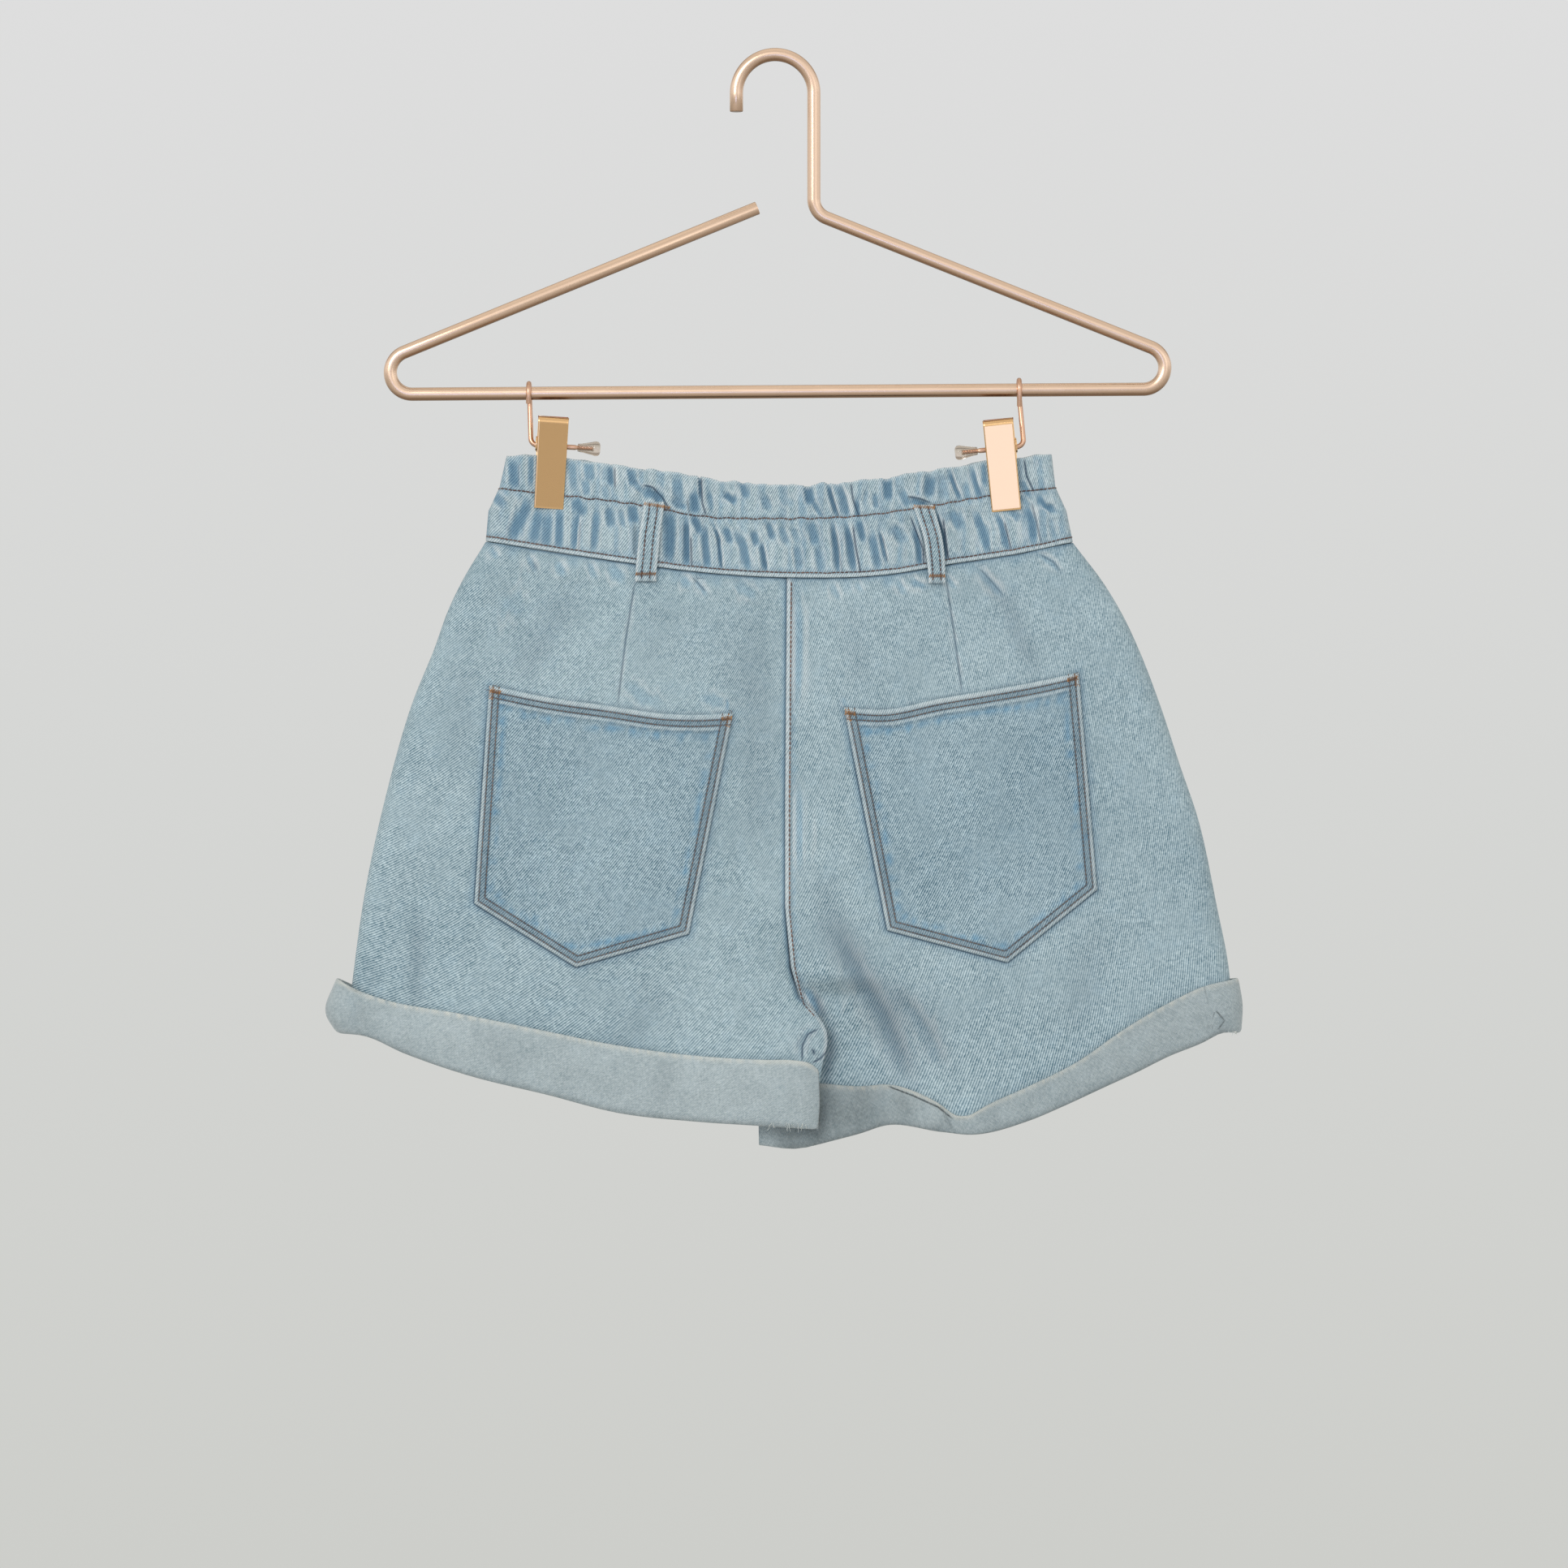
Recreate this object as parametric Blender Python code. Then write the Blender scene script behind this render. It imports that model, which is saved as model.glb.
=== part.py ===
"""Denim shorts with a gathered paperbag waist, held by two clips on a bent-wire hanger.

+Z is up, the shorts' back faces -Y and their front faces +Y, towards the wall. The origin
is the top of the hook's inside, where a nail or rod carries the hanger. Lengths are
millimetres in the tables and functions, and become metres where a mesh or curve is made.
"""

import math
from collections import namedtuple

import bmesh
import bpy
import numpy as np

MM = 0.001

# Cloth
CLOTH = 1.2  # one layer of denim
BAND = 2.4  # the waistband, folded over its elastic
POCKET = 1.2
LOOP = 1.6
CUFF = 3.2  # the hem turned up twice
SEAM_GAP = 0.3  # between pieces that are sewn together
BAND_PROUD = 0.6  # how far the band stands out from the panels under it
POCKET_CLEAR = 0.85
RIDGE = 0.4  # how far a gather's ridge stands out from the band
VALLEY = 2.4  # depth of a full gather
SIDE_ROUND = 13.0  # how far from the side seam the cloth rounds into the flat
BAND_ROUND = 8.0
INSEAM_ROUND = 32.0
CUFF_CLEAR = 0.8  # between a cuff and the panel inside it
CUFF_REACH = 4.0  # how far a panel's hem stays above the cuff's lower fold
CUFF_FOLD = 2.2  # of that, filled by the cuff
LEG_CLEAR = 0.5  # half the space between the legs where they cross
CLIP_DEPTH = 2.1  # half the thickness of the cloth where a clip pinches it
BACK, FRONT = -1, 1  # which way a face of the shorts looks along Y

# Hanger
WIRE_RADIUS = 3.6
HOOK_RADIUS = 21.0  # to the middle of the wire
HOOK_TIP_DROP = 10.0
NECK_FOOT = -82.3
NECK_ROUND = 11.0
CORNER_ROUND = 11.8
RIGHT_CORNER = (260.0, -177.5)  # where the arm and the bar would cross
LEFT_CORNER = (-258.0, -181.0)
OPEN_END = (-9.5, -79.5)
ARC_STEP = math.radians(15)

# Clips
PLATE = 1.0
PLATE_TOP = 15.8  # above the pin
PLATE_BOTTOM = -34.1
PLATE_TOP_HALF = 8.2
PLATE_BOTTOM_HALF = 8.0
PLATE_TOP_OUT = 8.6  # from the clip's middle to the plate's outer face
PLATE_BOTTOM_OUT = 4.5
EAR = 0.8
EAR_RADIUS = 4.0
EAR_HOLE = 1.75
FRONT_EAR = 6.8  # from the clip's middle to the ear's middle
BACK_EAR = 8.0
PIN_RADIUS = 1.4
LOOP_RADIUS = WIRE_RADIUS + PIN_RADIUS + SEAM_GAP
SPRING_RADIUS = 3.0
SPRING_LENGTH = 11.0
TIP_LENGTH = 12.3
TIP_BORE_DEPTH = 9.0
CLIP_ROUND = 4.0  # where the wire turns from the shank into the pin


def table(columns, *rows):
    row_type = namedtuple("Row", columns)
    return [row_type(*row) for row in rows]


# Where the clips sit: the pin's middle, the tilt of the clip, which way the tip points,
# the height of the hook's free end, and how far the shank stands outside the pin's middle.
CLIPS = table(
    "name across height tilt tip_way tip_start hook_end shank_out hook_out",
    ("left", -120.6, -208.8, 3.4, 1, 13.5, -186.1, 11.8, 12.9),
    ("right", 121.9, -210.1, -5.8, -1, 12.2, -187.6, 13.2, 10.4),
)

# Half the depth of the shorts at each height, at the back and at the front.
DEPTHS = table(
    "height back front",
    (-213, 9.0, 8.0),
    (-262, 9.0, 8.5),
    (-300, 11.0, 10.0),
    (-360, 13.0, 12.0),
    (-430, 13.0, 12.0),
    (-500, 11.5, 11.0),
    (-540, 10.0, 10.0),
    (-592, 10.0, 10.0),
)

# Soft troughs in the panels: where each starts and ends, its half width and its depth.
FOLDS = table(
    "face across height to_across to_height width depth",
    (BACK, -112, -290, -172, -352, 17, 1.8),
    (BACK, -193, -452, -195, -512, 15, 2.6),
    (BACK, -12, -300, -12, -440, 16, 1.2),
    (BACK, 112, -282, 150, -325, 14, 2.4),
    (BACK, 52, -486, 100, -560, 15, 2.4),
    (BACK, 180, -480, 160, -530, 17, 1.6),
    (FRONT, -95, -290, -150, -350, 17, 1.8),
    (FRONT, 90, -290, 150, -345, 17, 1.8),
    (FRONT, 12, -300, 14, -440, 16, 1.2),
    (FRONT, 185, -440, 190, -505, 16, 2.2),
    (FRONT, -60, -480, -95, -545, 15, 2.0),
)

WAIST_SEAM = table(
    "across height",
    (-157, -260.5),
    (-112, -267.5),
    (-72.5, -273.5),
    (-46, -277),
    (6.5, -280.5),
    (64, -278.5),
    (92.5, -273.5),
    (138.5, -266),
    (161.5, -261),
)
CASING_STITCH = table(
    "across height",
    (-150, -232),
    (-112, -236),
    (-77, -240.5),
    (-37.5, -247.5),
    (-2, -248.5),
    (46, -247),
    (90, -240.5),
    (112, -236.5),
    (152, -231.5),
)
FRILL_EDGE = table(
    "across height",
    (-145, -214.5),
    (-119, -215),
    (-94.5, -219),
    (-59.5, -223.5),
    (-24, -229),
    (11, -231),
    (37.5, -229.5),
    (81.5, -223.5),
    (113, -218),
    (150.5, -213.5),
)
BAND_SIDES = table(
    "height left right",
    (-261, -157, 161.5),
    (-244, -155.5, 158),
    (-231, -149.5, 152),
    (-214, -145.5, 150),
)

# Each gather of the back band: where its valley lies on the casing and on the frill.
BACK_GATHERS = table(
    "casing frill depth",
    (-141, -139, 0.6),
    (-134, -133, 0.6),
    (-126, -126, 0.2),
    (-120, -120, 0.1),
    (-113, -112, 0.6),
    (-107, -107, 0.8),
    (-102, -101, 0.6),
    (-94, -93, 0.9),
    (-85, -86, 0.6),
    (-73, -73, 0.5),
    (-55, -60, 1.2),
    (-48, -50, 0.8),
    (-38, -41, 1.1),
    (-31, -33, 0.7),
    (-24, -23, 0.6),
    (-17, -15, 0.7),
    (-9, -7, 0.7),
    (0, 2, 0.5),
    (13, 13, 1.0),
    (20, 26, 0.7),
    (33, 33, 0.8),
    (40, 42, 0.9),
    (46, 51, 0.6),
    (57, 60, 0.9),
    (64, 66, 0.7),
    (75, 73, 1.1),
    (86, 83, 0.6),
    (99, 97, 1.2),
    (108, 103, 0.8),
    (117, 115, 0.2),
    (125, 125, 0.1),
    (132, 136, 0.8),
    (140, 142, 0.6),
)
FRONT_GATHER_COUNT = 27

# How the gathers fade from row to row up the band: share of the way up from the seam to
# the stitch line (0 to 1) and on to the frill's edge (1 to 2), and the gather's strength.
BAND_ROWS = table(
    "up strength",
    (0.0, 0.15),
    (0.45, 1.0),
    (1.0, 0.55),
    (1.5, 0.9),
    (2.0, 1.0),
)

LEFT_SIDE = table(
    "across height",
    (-157, -260.7),
    (-169.5, -281.5),
    (-177, -297),
    (-185, -319),
    (-196, -346),
    (-211, -398),
    (-222.5, -451),
    (-229, -497),
    (-232, -523.5),
)
RIGHT_SIDE = table(
    "across height",
    (161.5, -261.2),
    (179, -284.5),
    (189, -301.5),
    (198, -321),
    (209, -350),
    (219.5, -382),
    (229, -410),
    (239, -456),
    (246.5, -497),
    (247.5, -523),
)
# The seat seam, from the waistband down to the crotch, and each inseam below it. The left
# leg hangs over the right one, so their inseams cross.
SEAT_SEAM = table(
    "across height",
    (6.5, -280.6),
    (6, -340),
    (5.5, -400),
    (5.5, -460),
    (8.5, -492),
    (13, -508),
)
LEFT_INSEAM = table(
    "across height",
    (13, -508),
    (19, -515),
    (26.5, -524),
    (28, -532),
    (20.2, -543),
    (20, -560),
    (20, -576),
)
RIGHT_INSEAM = table(
    "across height",
    (13, -508),
    (9, -520),
    (3, -533),
    (-1, -543),
    (-4, -552),
    (-5.3, -568),
    (-5.3, -585),
)
CROTCH_HEIGHT = -508.0
CROTCH_SHARE = 0.74  # of the way down a panel's rows
SIDE_SHARE = 0.075  # of a panel's width that rounds in at its side, and at its inseam
INSEAM_SHARE = 0.15
PARTING_START = -495.0  # the legs start to part here, just above the crotch
SEAT_CLOSE_START = -452.0  # from here down the seat seam draws in towards the crotch
CROSSING_FADE = (14.0, 66.0)  # past the other leg's inseam, back from flat to full depth

LEFT_CUFF_TOP = table(
    "across height",
    (-238, -497),
    (-228.5, -502),
    (-212.5, -508),
    (-170.5, -516),
    (-121, -526),
    (-94.5, -531.5),
    (-50.5, -538),
    (-6.5, -541),
    (24, -544),
)
LEFT_CUFF_LOW = table(
    "across height",
    (-236, -527),
    (-222.5, -528),
    (-200.5, -537.5),
    (-169, -548.5),
    (-121, -560.5),
    (-86, -569.5),
    (-42, -574.5),
    (-4, -577),
    (24, -579),
)
RIGHT_CUFF_TOP = table(
    "across height",
    (-9, -552),
    (25.5, -554.5),
    (45, -556),
    (63.5, -555),
    (87.5, -564),
    (98, -571),
    (104.5, -571),
    (114.5, -565.5),
    (136.5, -555.5),
    (165, -541),
    (187, -525.5),
    (212, -510.5),
    (231, -501.5),
    (251.5, -497),
)
RIGHT_CUFF_LOW = table(
    "across height",
    (-9, -588),
    (12, -590),
    (30, -586),
    (46.5, -581.5),
    (59.5, -577),
    (90, -580),
    (106, -581.5),
    (137, -574),
    (156, -566),
    (176.5, -556.5),
    (196, -547.5),
    (212, -539.5),
    (232.5, -531),
    (240, -527),
    (253.5, -527),
)
# Where the cuff's two ends lie at its top, at its widest and at its fold.
LEFT_CUFF_ENDS = table(
    "down side inseam", (0.0, -238, 23.6), (0.7, -243.3, 24), (1.0, -238, 23.4)
)
RIGHT_CUFF_ENDS = table(
    "down side inseam", (0.0, 251.2, -8.6), (0.5, 253.4, -9), (1.0, 253, -8.8)
)

Leg = namedtuple("Leg", "name inward side inseam cuff_top cuff_low cuff_ends parted")
# parted is the face that lies against the other leg where the legs cross.
LEFT = Leg("left", 1, LEFT_SIDE, LEFT_INSEAM, LEFT_CUFF_TOP, LEFT_CUFF_LOW, LEFT_CUFF_ENDS, FRONT)
RIGHT = Leg(
    "right", -1, RIGHT_SIDE, RIGHT_INSEAM, RIGHT_CUFF_TOP, RIGHT_CUFF_LOW, RIGHT_CUFF_ENDS, BACK
)

# Patch pockets: the mouth's edge, then the corners below it.
LEFT_MOUTH = table(
    "across height",
    (-154.5, -338.5),
    (-122.5, -345),
    (-90.5, -349.5),
    (-58.5, -354),
    (-42, -354.5),
    (-22.5, -353.5),
)
LEFT_POINT = table("across height", (-162.5, -456.5), (-107.5, -491), (-46.5, -473))
RIGHT_MOUTH = table(
    "across height",
    (37, -350.5),
    (60.5, -351.5),
    (87.5, -346),
    (119.5, -340.5),
    (141.5, -336.5),
    (164, -331.5),
)
RIGHT_POINT = table("across height", (60.5, -471), (125.5, -488.5), (174, -449))

# Belt loops: each strap's two edges at several heights, and how far it stands off.
LOOPS = {
    "belt_loop_back_left": (
        BACK,
        table(
            "left right height lift",
            (-71, -60, -239.5, 0),
            (-71.6, -60.4, -245, 0.6),
            (-73.5, -62, -257, 1.6),
            (-74.8, -63.2, -270, 1.2),
            (-75.5, -64, -277, 0.3),
            (-75.7, -64.2, -282.5, 0),
        ),
    ),
    "belt_loop_back_right": (
        BACK,
        table(
            "left right height lift",
            (74.5, 85.5, -241, 0),
            (76, 87, -246, 0.6),
            (80, 90.2, -258, 1.8),
            (81.6, 91.6, -268, 1.4),
            (82.6, 92, -277, 0.3),
            (83, 92.2, -283.5, 0),
        ),
    ),
    "belt_loop_front_left": (
        FRONT,
        table(
            "left right height lift",
            (-78, -66.5, -240.5, 0),
            (-78, -66.5, -246, 0.6),
            (-78, -66.5, -260, 1.6),
            (-78, -66.5, -276, 0.3),
            (-78, -66.5, -283, 0),
        ),
    ),
    "belt_loop_front_right": (
        FRONT,
        table(
            "left right height lift",
            (74, 85.5, -240.5, 0),
            (74, 85.5, -246, 0.6),
            (74, 85.5, -260, 1.6),
            (74, 85.5, -276, 0.3),
            (74, 85.5, -283, 0),
        ),
    ),
}


# --- curves and steps


def rise(value, low, high):
    """0 below low, 1 above high, and smooth between."""
    share = np.clip((value - low) / (high - low), 0.0, 1.0)
    return share * share * (3 - 2 * share)


def through(knots, values, at):
    """A smooth curve through the values at the knots, flat-ended past them."""
    knots = np.asarray(knots, float)
    values = np.asarray(values, float)
    slopes = np.gradient(values, knots)
    at = np.clip(at, knots[0], knots[-1])
    i = np.clip(np.searchsorted(knots, at, side="right") - 1, 0, len(knots) - 2)
    span = knots[i + 1] - knots[i]
    t = (at - knots[i]) / span
    start = (2 * t**3 - 3 * t**2 + 1) * values[i] + (t**3 - 2 * t**2 + t) * span * slopes[i]
    end = (3 * t**2 - 2 * t**3) * values[i + 1] + (t**3 - t**2) * span * slopes[i + 1]
    return start + end


def column(rows, name):
    return [getattr(row, name) for row in rows]


def height_at(rows, across):
    return through(column(rows, "across"), column(rows, "height"), across)


def along(rows, share):
    """The point that far along the rows' polyline, as (across, height), by its length."""
    points = np.array([(row.across, row.height) for row in rows], float)
    lengths = np.concatenate([[0], np.cumsum(np.linalg.norm(np.diff(points, axis=0), axis=1))])
    at = share * lengths[-1]
    return np.array([through(lengths, points[:, 0], at), through(lengths, points[:, 1], at)])


def by_row(rows, share):
    """The point that far down the table, counting each row as one step."""
    steps = np.arange(len(rows))
    at = share * (len(rows) - 1)
    across = np.interp(at, steps, column(rows, "across"))
    return np.array([across, np.interp(at, steps, column(rows, "height"))])


def rounded(distance, radius):
    """A quarter ellipse: 0 at the edge, 1 from one radius in."""
    return np.sqrt(1 - (1 - np.clip(distance / radius, 0.0, 1.0)) ** 2)


def blend(start, end, share):
    return start + (end - start) * share


# --- the form of the shorts


def pinch(across, height):
    """1 where a clip closes the cloth, fading with the distance from it."""
    shares = []
    for clip in CLIPS:
        away = np.maximum(np.abs(across - clip.across) - 9, 0) / 26
        shares.append(np.exp(-(away**2)))
    return np.max(shares, axis=0) * rise(height, -335, -252)


def fold_depth(face, across, height):
    """How deep the soft troughs are at a point of that face."""
    total = 0.0
    for fold in FOLDS:
        if fold.face != face:
            continue
        start = np.array([fold.across, fold.height], float)
        run = np.array([fold.to_across, fold.to_height], float) - start
        share = ((across - start[0]) * run[0] + (height - start[1]) * run[1]) / (run @ run)
        nearest = np.clip(share, 0, 1)
        away = np.hypot(across - start[0] - nearest * run[0], height - start[1] - nearest * run[1])
        total += fold.depth * math.exp(-((away / fold.width) ** 2))
    return total


def face_depth(face, across, height):
    """How far that face of the shorts stands from their middle plane, away from edges."""
    flat = np.interp(
        -height, [-row.height for row in DEPTHS], column(DEPTHS, "back" if face == BACK else "front")
    )
    share = pinch(across, height)
    return blend(flat, CLIP_DEPTH, share) - fold_depth(face, across, height) * (1 - share)


def centre_at(leg, height):
    """Where a leg's seat seam, and its inseam below the crotch, lies at a height."""
    rows = SEAT_SEAM + leg.inseam[1:]
    return np.interp(-height, [-row.height for row in rows], column(rows, "across"))


def parting(height):
    """Half the space that the crossing legs keep between them for their cuffs."""
    return LEG_CLEAR + (CUFF + CUFF_CLEAR) * rise(-height, 508, 538)


def leg_depth(leg, face, across, height, from_side, outward):
    """How far a face of a leg stands out, with its edges closed at the side and inseam.

    outward moves the surface off the panel's outer face: in if it is negative.
    """
    other = RIGHT if leg is LEFT else LEFT
    from_inseam = leg.inward * (centre_at(leg, height) - across)
    apart = rise(-height, -PARTING_START, -CROTCH_HEIGHT)
    drawn = rise(-height, -SEAT_CLOSE_START, -CROTCH_HEIGHT)
    inner = 1 - drawn * (1 - rounded(from_inseam + outward, INSEAM_ROUND + outward))
    shape = rounded(from_side, SIDE_ROUND + outward) * inner
    full = face_depth(face, across, height) + outward
    if face != leg.parted:
        lifted = (parting(height) + CLOTH + SEAM_GAP) * apart * (1 - rise(from_inseam, 30, 90))
        return SEAM_GAP / 2 + lifted + (full - lifted) * shape
    past_other = leg.inward * (centre_at(other, height) - across)
    against = apart * (1 - rise(past_other, *CROSSING_FADE))
    return blend(SEAM_GAP / 2 + full * shape, outward - parting(height), against)


def panel_place(leg, u, v, inset):
    """Across and height at u (side seam to centre) and v (waist to hem)."""
    side = along(leg.side, v)
    if v <= CROTCH_SHARE:
        height = blend(SEAT_SEAM[0].height, CROTCH_HEIGHT, v / CROTCH_SHARE)
        centre = np.array([centre_at(leg, height) - leg.inward * SEAM_GAP / 2, height])
    else:
        centre = by_row(leg.inseam, (v - CROTCH_SHARE) / (1 - CROTCH_SHARE))
        centre[0] -= leg.inward * inset
    side[0] += leg.inward * inset
    across = blend(side[0], centre[0], u)
    ends = (along(leg.side, 0)[0], SEAT_SEAM[0].across)
    waist = height_at(WAIST_SEAM, blend(*ends, u)) - SEAM_GAP / 2
    waist -= blend(*(height_at(WAIST_SEAM, end) for end in ends), u) - SEAM_GAP / 2
    hem = height_at(leg.cuff_low, blend(leg.side[-1].across, leg.inseam[-1].across, u))
    hem += CUFF_REACH - blend(leg.side[-1].height, leg.inseam[-1].height, u)
    height = blend(side[1], centre[1], u) + (1 - v) * waist + v * hem
    return across, height, abs(centre[0] - side[0])


def panel_surface(leg, face, inset, columns, rows):
    grid = np.empty((len(rows), len(columns), 3))
    for i, v in enumerate(rows):
        for j, u in enumerate(columns):
            across, height, width = panel_place(leg, u, v, inset)
            depth = leg_depth(leg, face, across, height, u * width, -inset)
            grid[i, j] = across, face * depth, height
    return grid


def leg_columns():
    side = [SIDE_SHARE * (1 - math.cos(math.radians(a))) for a in (0, 30, 60, 90)]
    flat = list(np.linspace(0.13, 0.8, 11))
    inner = [1 - INSEAM_SHARE * (1 - math.cos(math.radians(a))) for a in (90, 60, 32, 12, 0)]
    return side + flat + inner


def panel_rows():
    seat = list(np.linspace(0, CROTCH_SHARE, 9))
    return seat + list(np.linspace(CROTCH_SHARE, 1, 7))[1:]


# --- meshes


def material(name, colour, roughness, metallic=0.0):
    made = bpy.data.materials.new(name)
    made.use_nodes = True
    shader = made.node_tree.nodes["Principled BSDF"]
    shader.inputs["Base Color"].default_value = (*colour, 1)
    shader.inputs["Roughness"].default_value = roughness
    shader.inputs["Metallic"].default_value = metallic
    return made


def mesh_object(name, points, faces, finish):
    mesh = bpy.data.meshes.new(name)
    mesh.from_pydata([tuple(c * MM for c in point) for point in points], [], faces)
    work = bmesh.new()
    work.from_mesh(mesh)
    bmesh.ops.recalc_face_normals(work, faces=work.faces)
    work.to_mesh(mesh)
    work.free()
    mesh.shade_smooth()
    mesh.set_sharp_from_angle(angle=math.radians(40))
    mesh.materials.append(finish)
    made = bpy.data.objects.new(name, mesh)
    bpy.context.collection.objects.link(made)
    return made


def wall(name, outer, inner, finish):
    """A closed wall between two grids of points of the same shape."""
    rows, columns = outer.shape[:2]
    points = np.concatenate([outer.reshape(-1, 3), inner.reshape(-1, 3)])
    back = rows * columns

    def at(i, j, layer):
        return layer * back + i * columns + j

    faces = []
    for i in range(rows - 1):
        for j in range(columns - 1):
            faces.append((at(i, j, 0), at(i, j + 1, 0), at(i + 1, j + 1, 0), at(i + 1, j, 0)))
            faces.append((at(i + 1, j, 1), at(i + 1, j + 1, 1), at(i, j + 1, 1), at(i, j, 1)))
    edge = [(0, j) for j in range(columns)]
    edge += [(i, columns - 1) for i in range(1, rows)]
    edge += [(rows - 1, j) for j in range(columns - 2, -1, -1)]
    edge += [(i, 0) for i in range(rows - 2, 0, -1)]
    for here, there in zip(edge, edge[1:] + edge[:1]):
        faces.append((at(*here, 0), at(*here, 1), at(*there, 1), at(*there, 0)))
    return mesh_object(name, points, faces, finish)


def ring_sweep(name, sections, finish):
    """A closed bar through sections of the same number of points, capped at its ends."""
    count = len(sections[0])
    points = [point for section in sections for point in section]
    faces = []
    for k in range(len(sections) - 1):
        for i in range(count):
            j = (i + 1) % count
            here, there = k * count, (k + 1) * count
            faces.append((here + i, here + j, there + j, there + i))
    faces += cap(sections[0], 0) + cap(sections[-1], (len(sections) - 1) * count)
    return mesh_object(name, points, faces, finish)


def cap(section, start):
    """Triangles across a section whose two long sides run side by side."""
    count = len(section)
    low, high = 0, count - 1
    faces = []
    while high - low > 1:
        faces.append((start + low, start + low + 1, start + high))
        low += 1
        if high - low > 1:
            faces.append((start + low, start + high - 1, start + high))
            high -= 1
    return faces


# --- the cloth


def make_panels(denim):
    columns, rows = leg_columns(), panel_rows()
    for leg in (LEFT, RIGHT):
        for face, word in ((BACK, "back"), (FRONT, "front")):
            outer = panel_surface(leg, face, 0.0, columns, rows)
            inner = panel_surface(leg, face, CLOTH, columns, rows)
            wall(f"{word}_panel_{leg.name}", outer, inner, denim)


def front_gathers():
    """Valleys of the front band, unevenly spaced across its width."""
    gathers = []
    for i in range(FRONT_GATHER_COUNT):
        share = (i + 0.5 + 0.22 * math.sin(2.3 * i)) / FRONT_GATHER_COUNT
        across = blend(-152, 156, share)
        clipped = min(abs(across - clip.across) for clip in CLIPS) < 11
        depth = 0.1 if clipped else 0.75 + 0.3 * math.sin(1.7 * i + 0.6)
        gathers.append((across, across + 1.5 * math.sin(1.1 * i), depth))
    return table("casing frill depth", *gathers)


def band_columns(gathers):
    """(casing share, frill share, gather) across the band: a valley and two shoulders each."""
    casing = [0.0] + [(g.casing + 156) / 315 for g in gathers] + [1.0]
    frill = [0.0] + [(g.frill + 147.5) / 298.5 for g in gathers] + [1.0]
    depths = [0.0] + [g.depth for g in gathers] + [0.0]
    rounding = (0.0018, 0.007, 0.015)
    columns = [(0.0, 0.0, 0.0)] + [(share, share, 0.0) for share in rounding]
    for k in range(1, len(casing) - 1):
        columns.append((casing[k], frill[k], depths[k]))
        if k < len(casing) - 2:
            for share in (0.3, 0.7):
                at = (blend(casing[k], casing[k + 1], share), blend(frill[k], frill[k + 1], share))
                columns.append((*at, -RIDGE / VALLEY))
    columns += [(1 - share, 1 - share, 0.0) for share in rounding[::-1]] + [(1.0, 1.0, 0.0)]
    return columns


def band_height(across, up):
    seam = height_at(WAIST_SEAM, across) + SEAM_GAP / 2
    stitch = height_at(CASING_STITCH, across)
    if up <= 1:
        return blend(seam, stitch, up)
    return blend(stitch, height_at(FRILL_EDGE, across), up - 1)


def band_side(name, height):
    rows = BAND_SIDES
    return np.interp(height, column(rows, "height"), column(rows, name))


def band_surface(face, gathers, outward, inset):
    columns = band_columns(gathers)
    grid = np.empty((len(BAND_ROWS), len(columns), 3))
    for i, row in enumerate(BAND_ROWS):
        lean = rise(row.up, 0.3, 1.2)
        for j, (casing, frill, gather) in enumerate(columns):
            share = blend(casing, frill, lean)
            height = band_height(blend(-152.0, 156.0, share), row.up)
            left = band_side("left", height) + inset
            right = band_side("right", height) - inset
            across = blend(left, right, share)
            height = band_height(across, row.up)
            from_side = min(across - left, right - across)
            closed = rounded(from_side, BAND_ROUND + outward - BAND_PROUD)
            full = face_depth(face, across, height)
            room = max(full - CLIP_DEPTH, 0) * 0.7 + 0.25
            dip = min(VALLEY * row.strength * gather, room)
            depth = (full + outward - dip) * closed
            grid[i, j] = across, face * (SEAM_GAP / 2 + max(depth, 0)), height
    return grid


def make_bands(denim):
    for face, word, gathers in ((BACK, "back", BACK_GATHERS), (FRONT, "front", front_gathers())):
        outer = band_surface(face, gathers, BAND_PROUD, 0.0)
        inner = band_surface(face, gathers, BAND_PROUD - BAND, BAND)
        wall(f"waistband_{word}", outer, inner, denim)


def make_pocket(name, mouth, point, denim):
    ends = [row.across for row in mouth]
    tip_share = (point[1].across - point[0].across) / (point[2].across - point[0].across)
    shares = sorted(set(np.linspace(0, tip_share, 5)) | set(np.linspace(tip_share, 1, 5)))
    downs = np.linspace(0, 1, 9)
    grids = []
    for outward in (POCKET_CLEAR + POCKET, POCKET_CLEAR):
        grid = np.empty((len(downs), len(shares), 3))
        for j, share in enumerate(shares):
            top = np.array([blend(ends[0], ends[-1], share)] * 2)
            top[1] = height_at(mouth, top[0])
            foot = blend(point[0].across, point[2].across, share)
            foot = np.array([foot, np.interp(foot, column(point, "across"), column(point, "height"))])
            for i, down in enumerate(downs):
                across, height = blend(top, foot, down)
                grid[i, j] = across, BACK * (face_depth(BACK, across, height) + outward), height
        grids.append(grid)
    wall(name, grids[0], grids[1], denim)


def make_loops(denim):
    for name, (face, rows) in LOOPS.items():
        grids = []
        for thick in (LOOP, 0.0):
            grid = np.empty((len(rows), 3, 3))
            for i, row in enumerate(rows):
                for j, across in enumerate((row.left, (row.left + row.right) / 2, row.right)):
                    out = SEAM_GAP / 2 + BAND_PROUD + RIDGE + SEAM_GAP + row.lift + thick
                    grid[i, j] = across, face * (face_depth(face, across, row.height) + out), row.height
            grids.append(grid)
        wall(name, grids[0], grids[1], denim)


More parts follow.
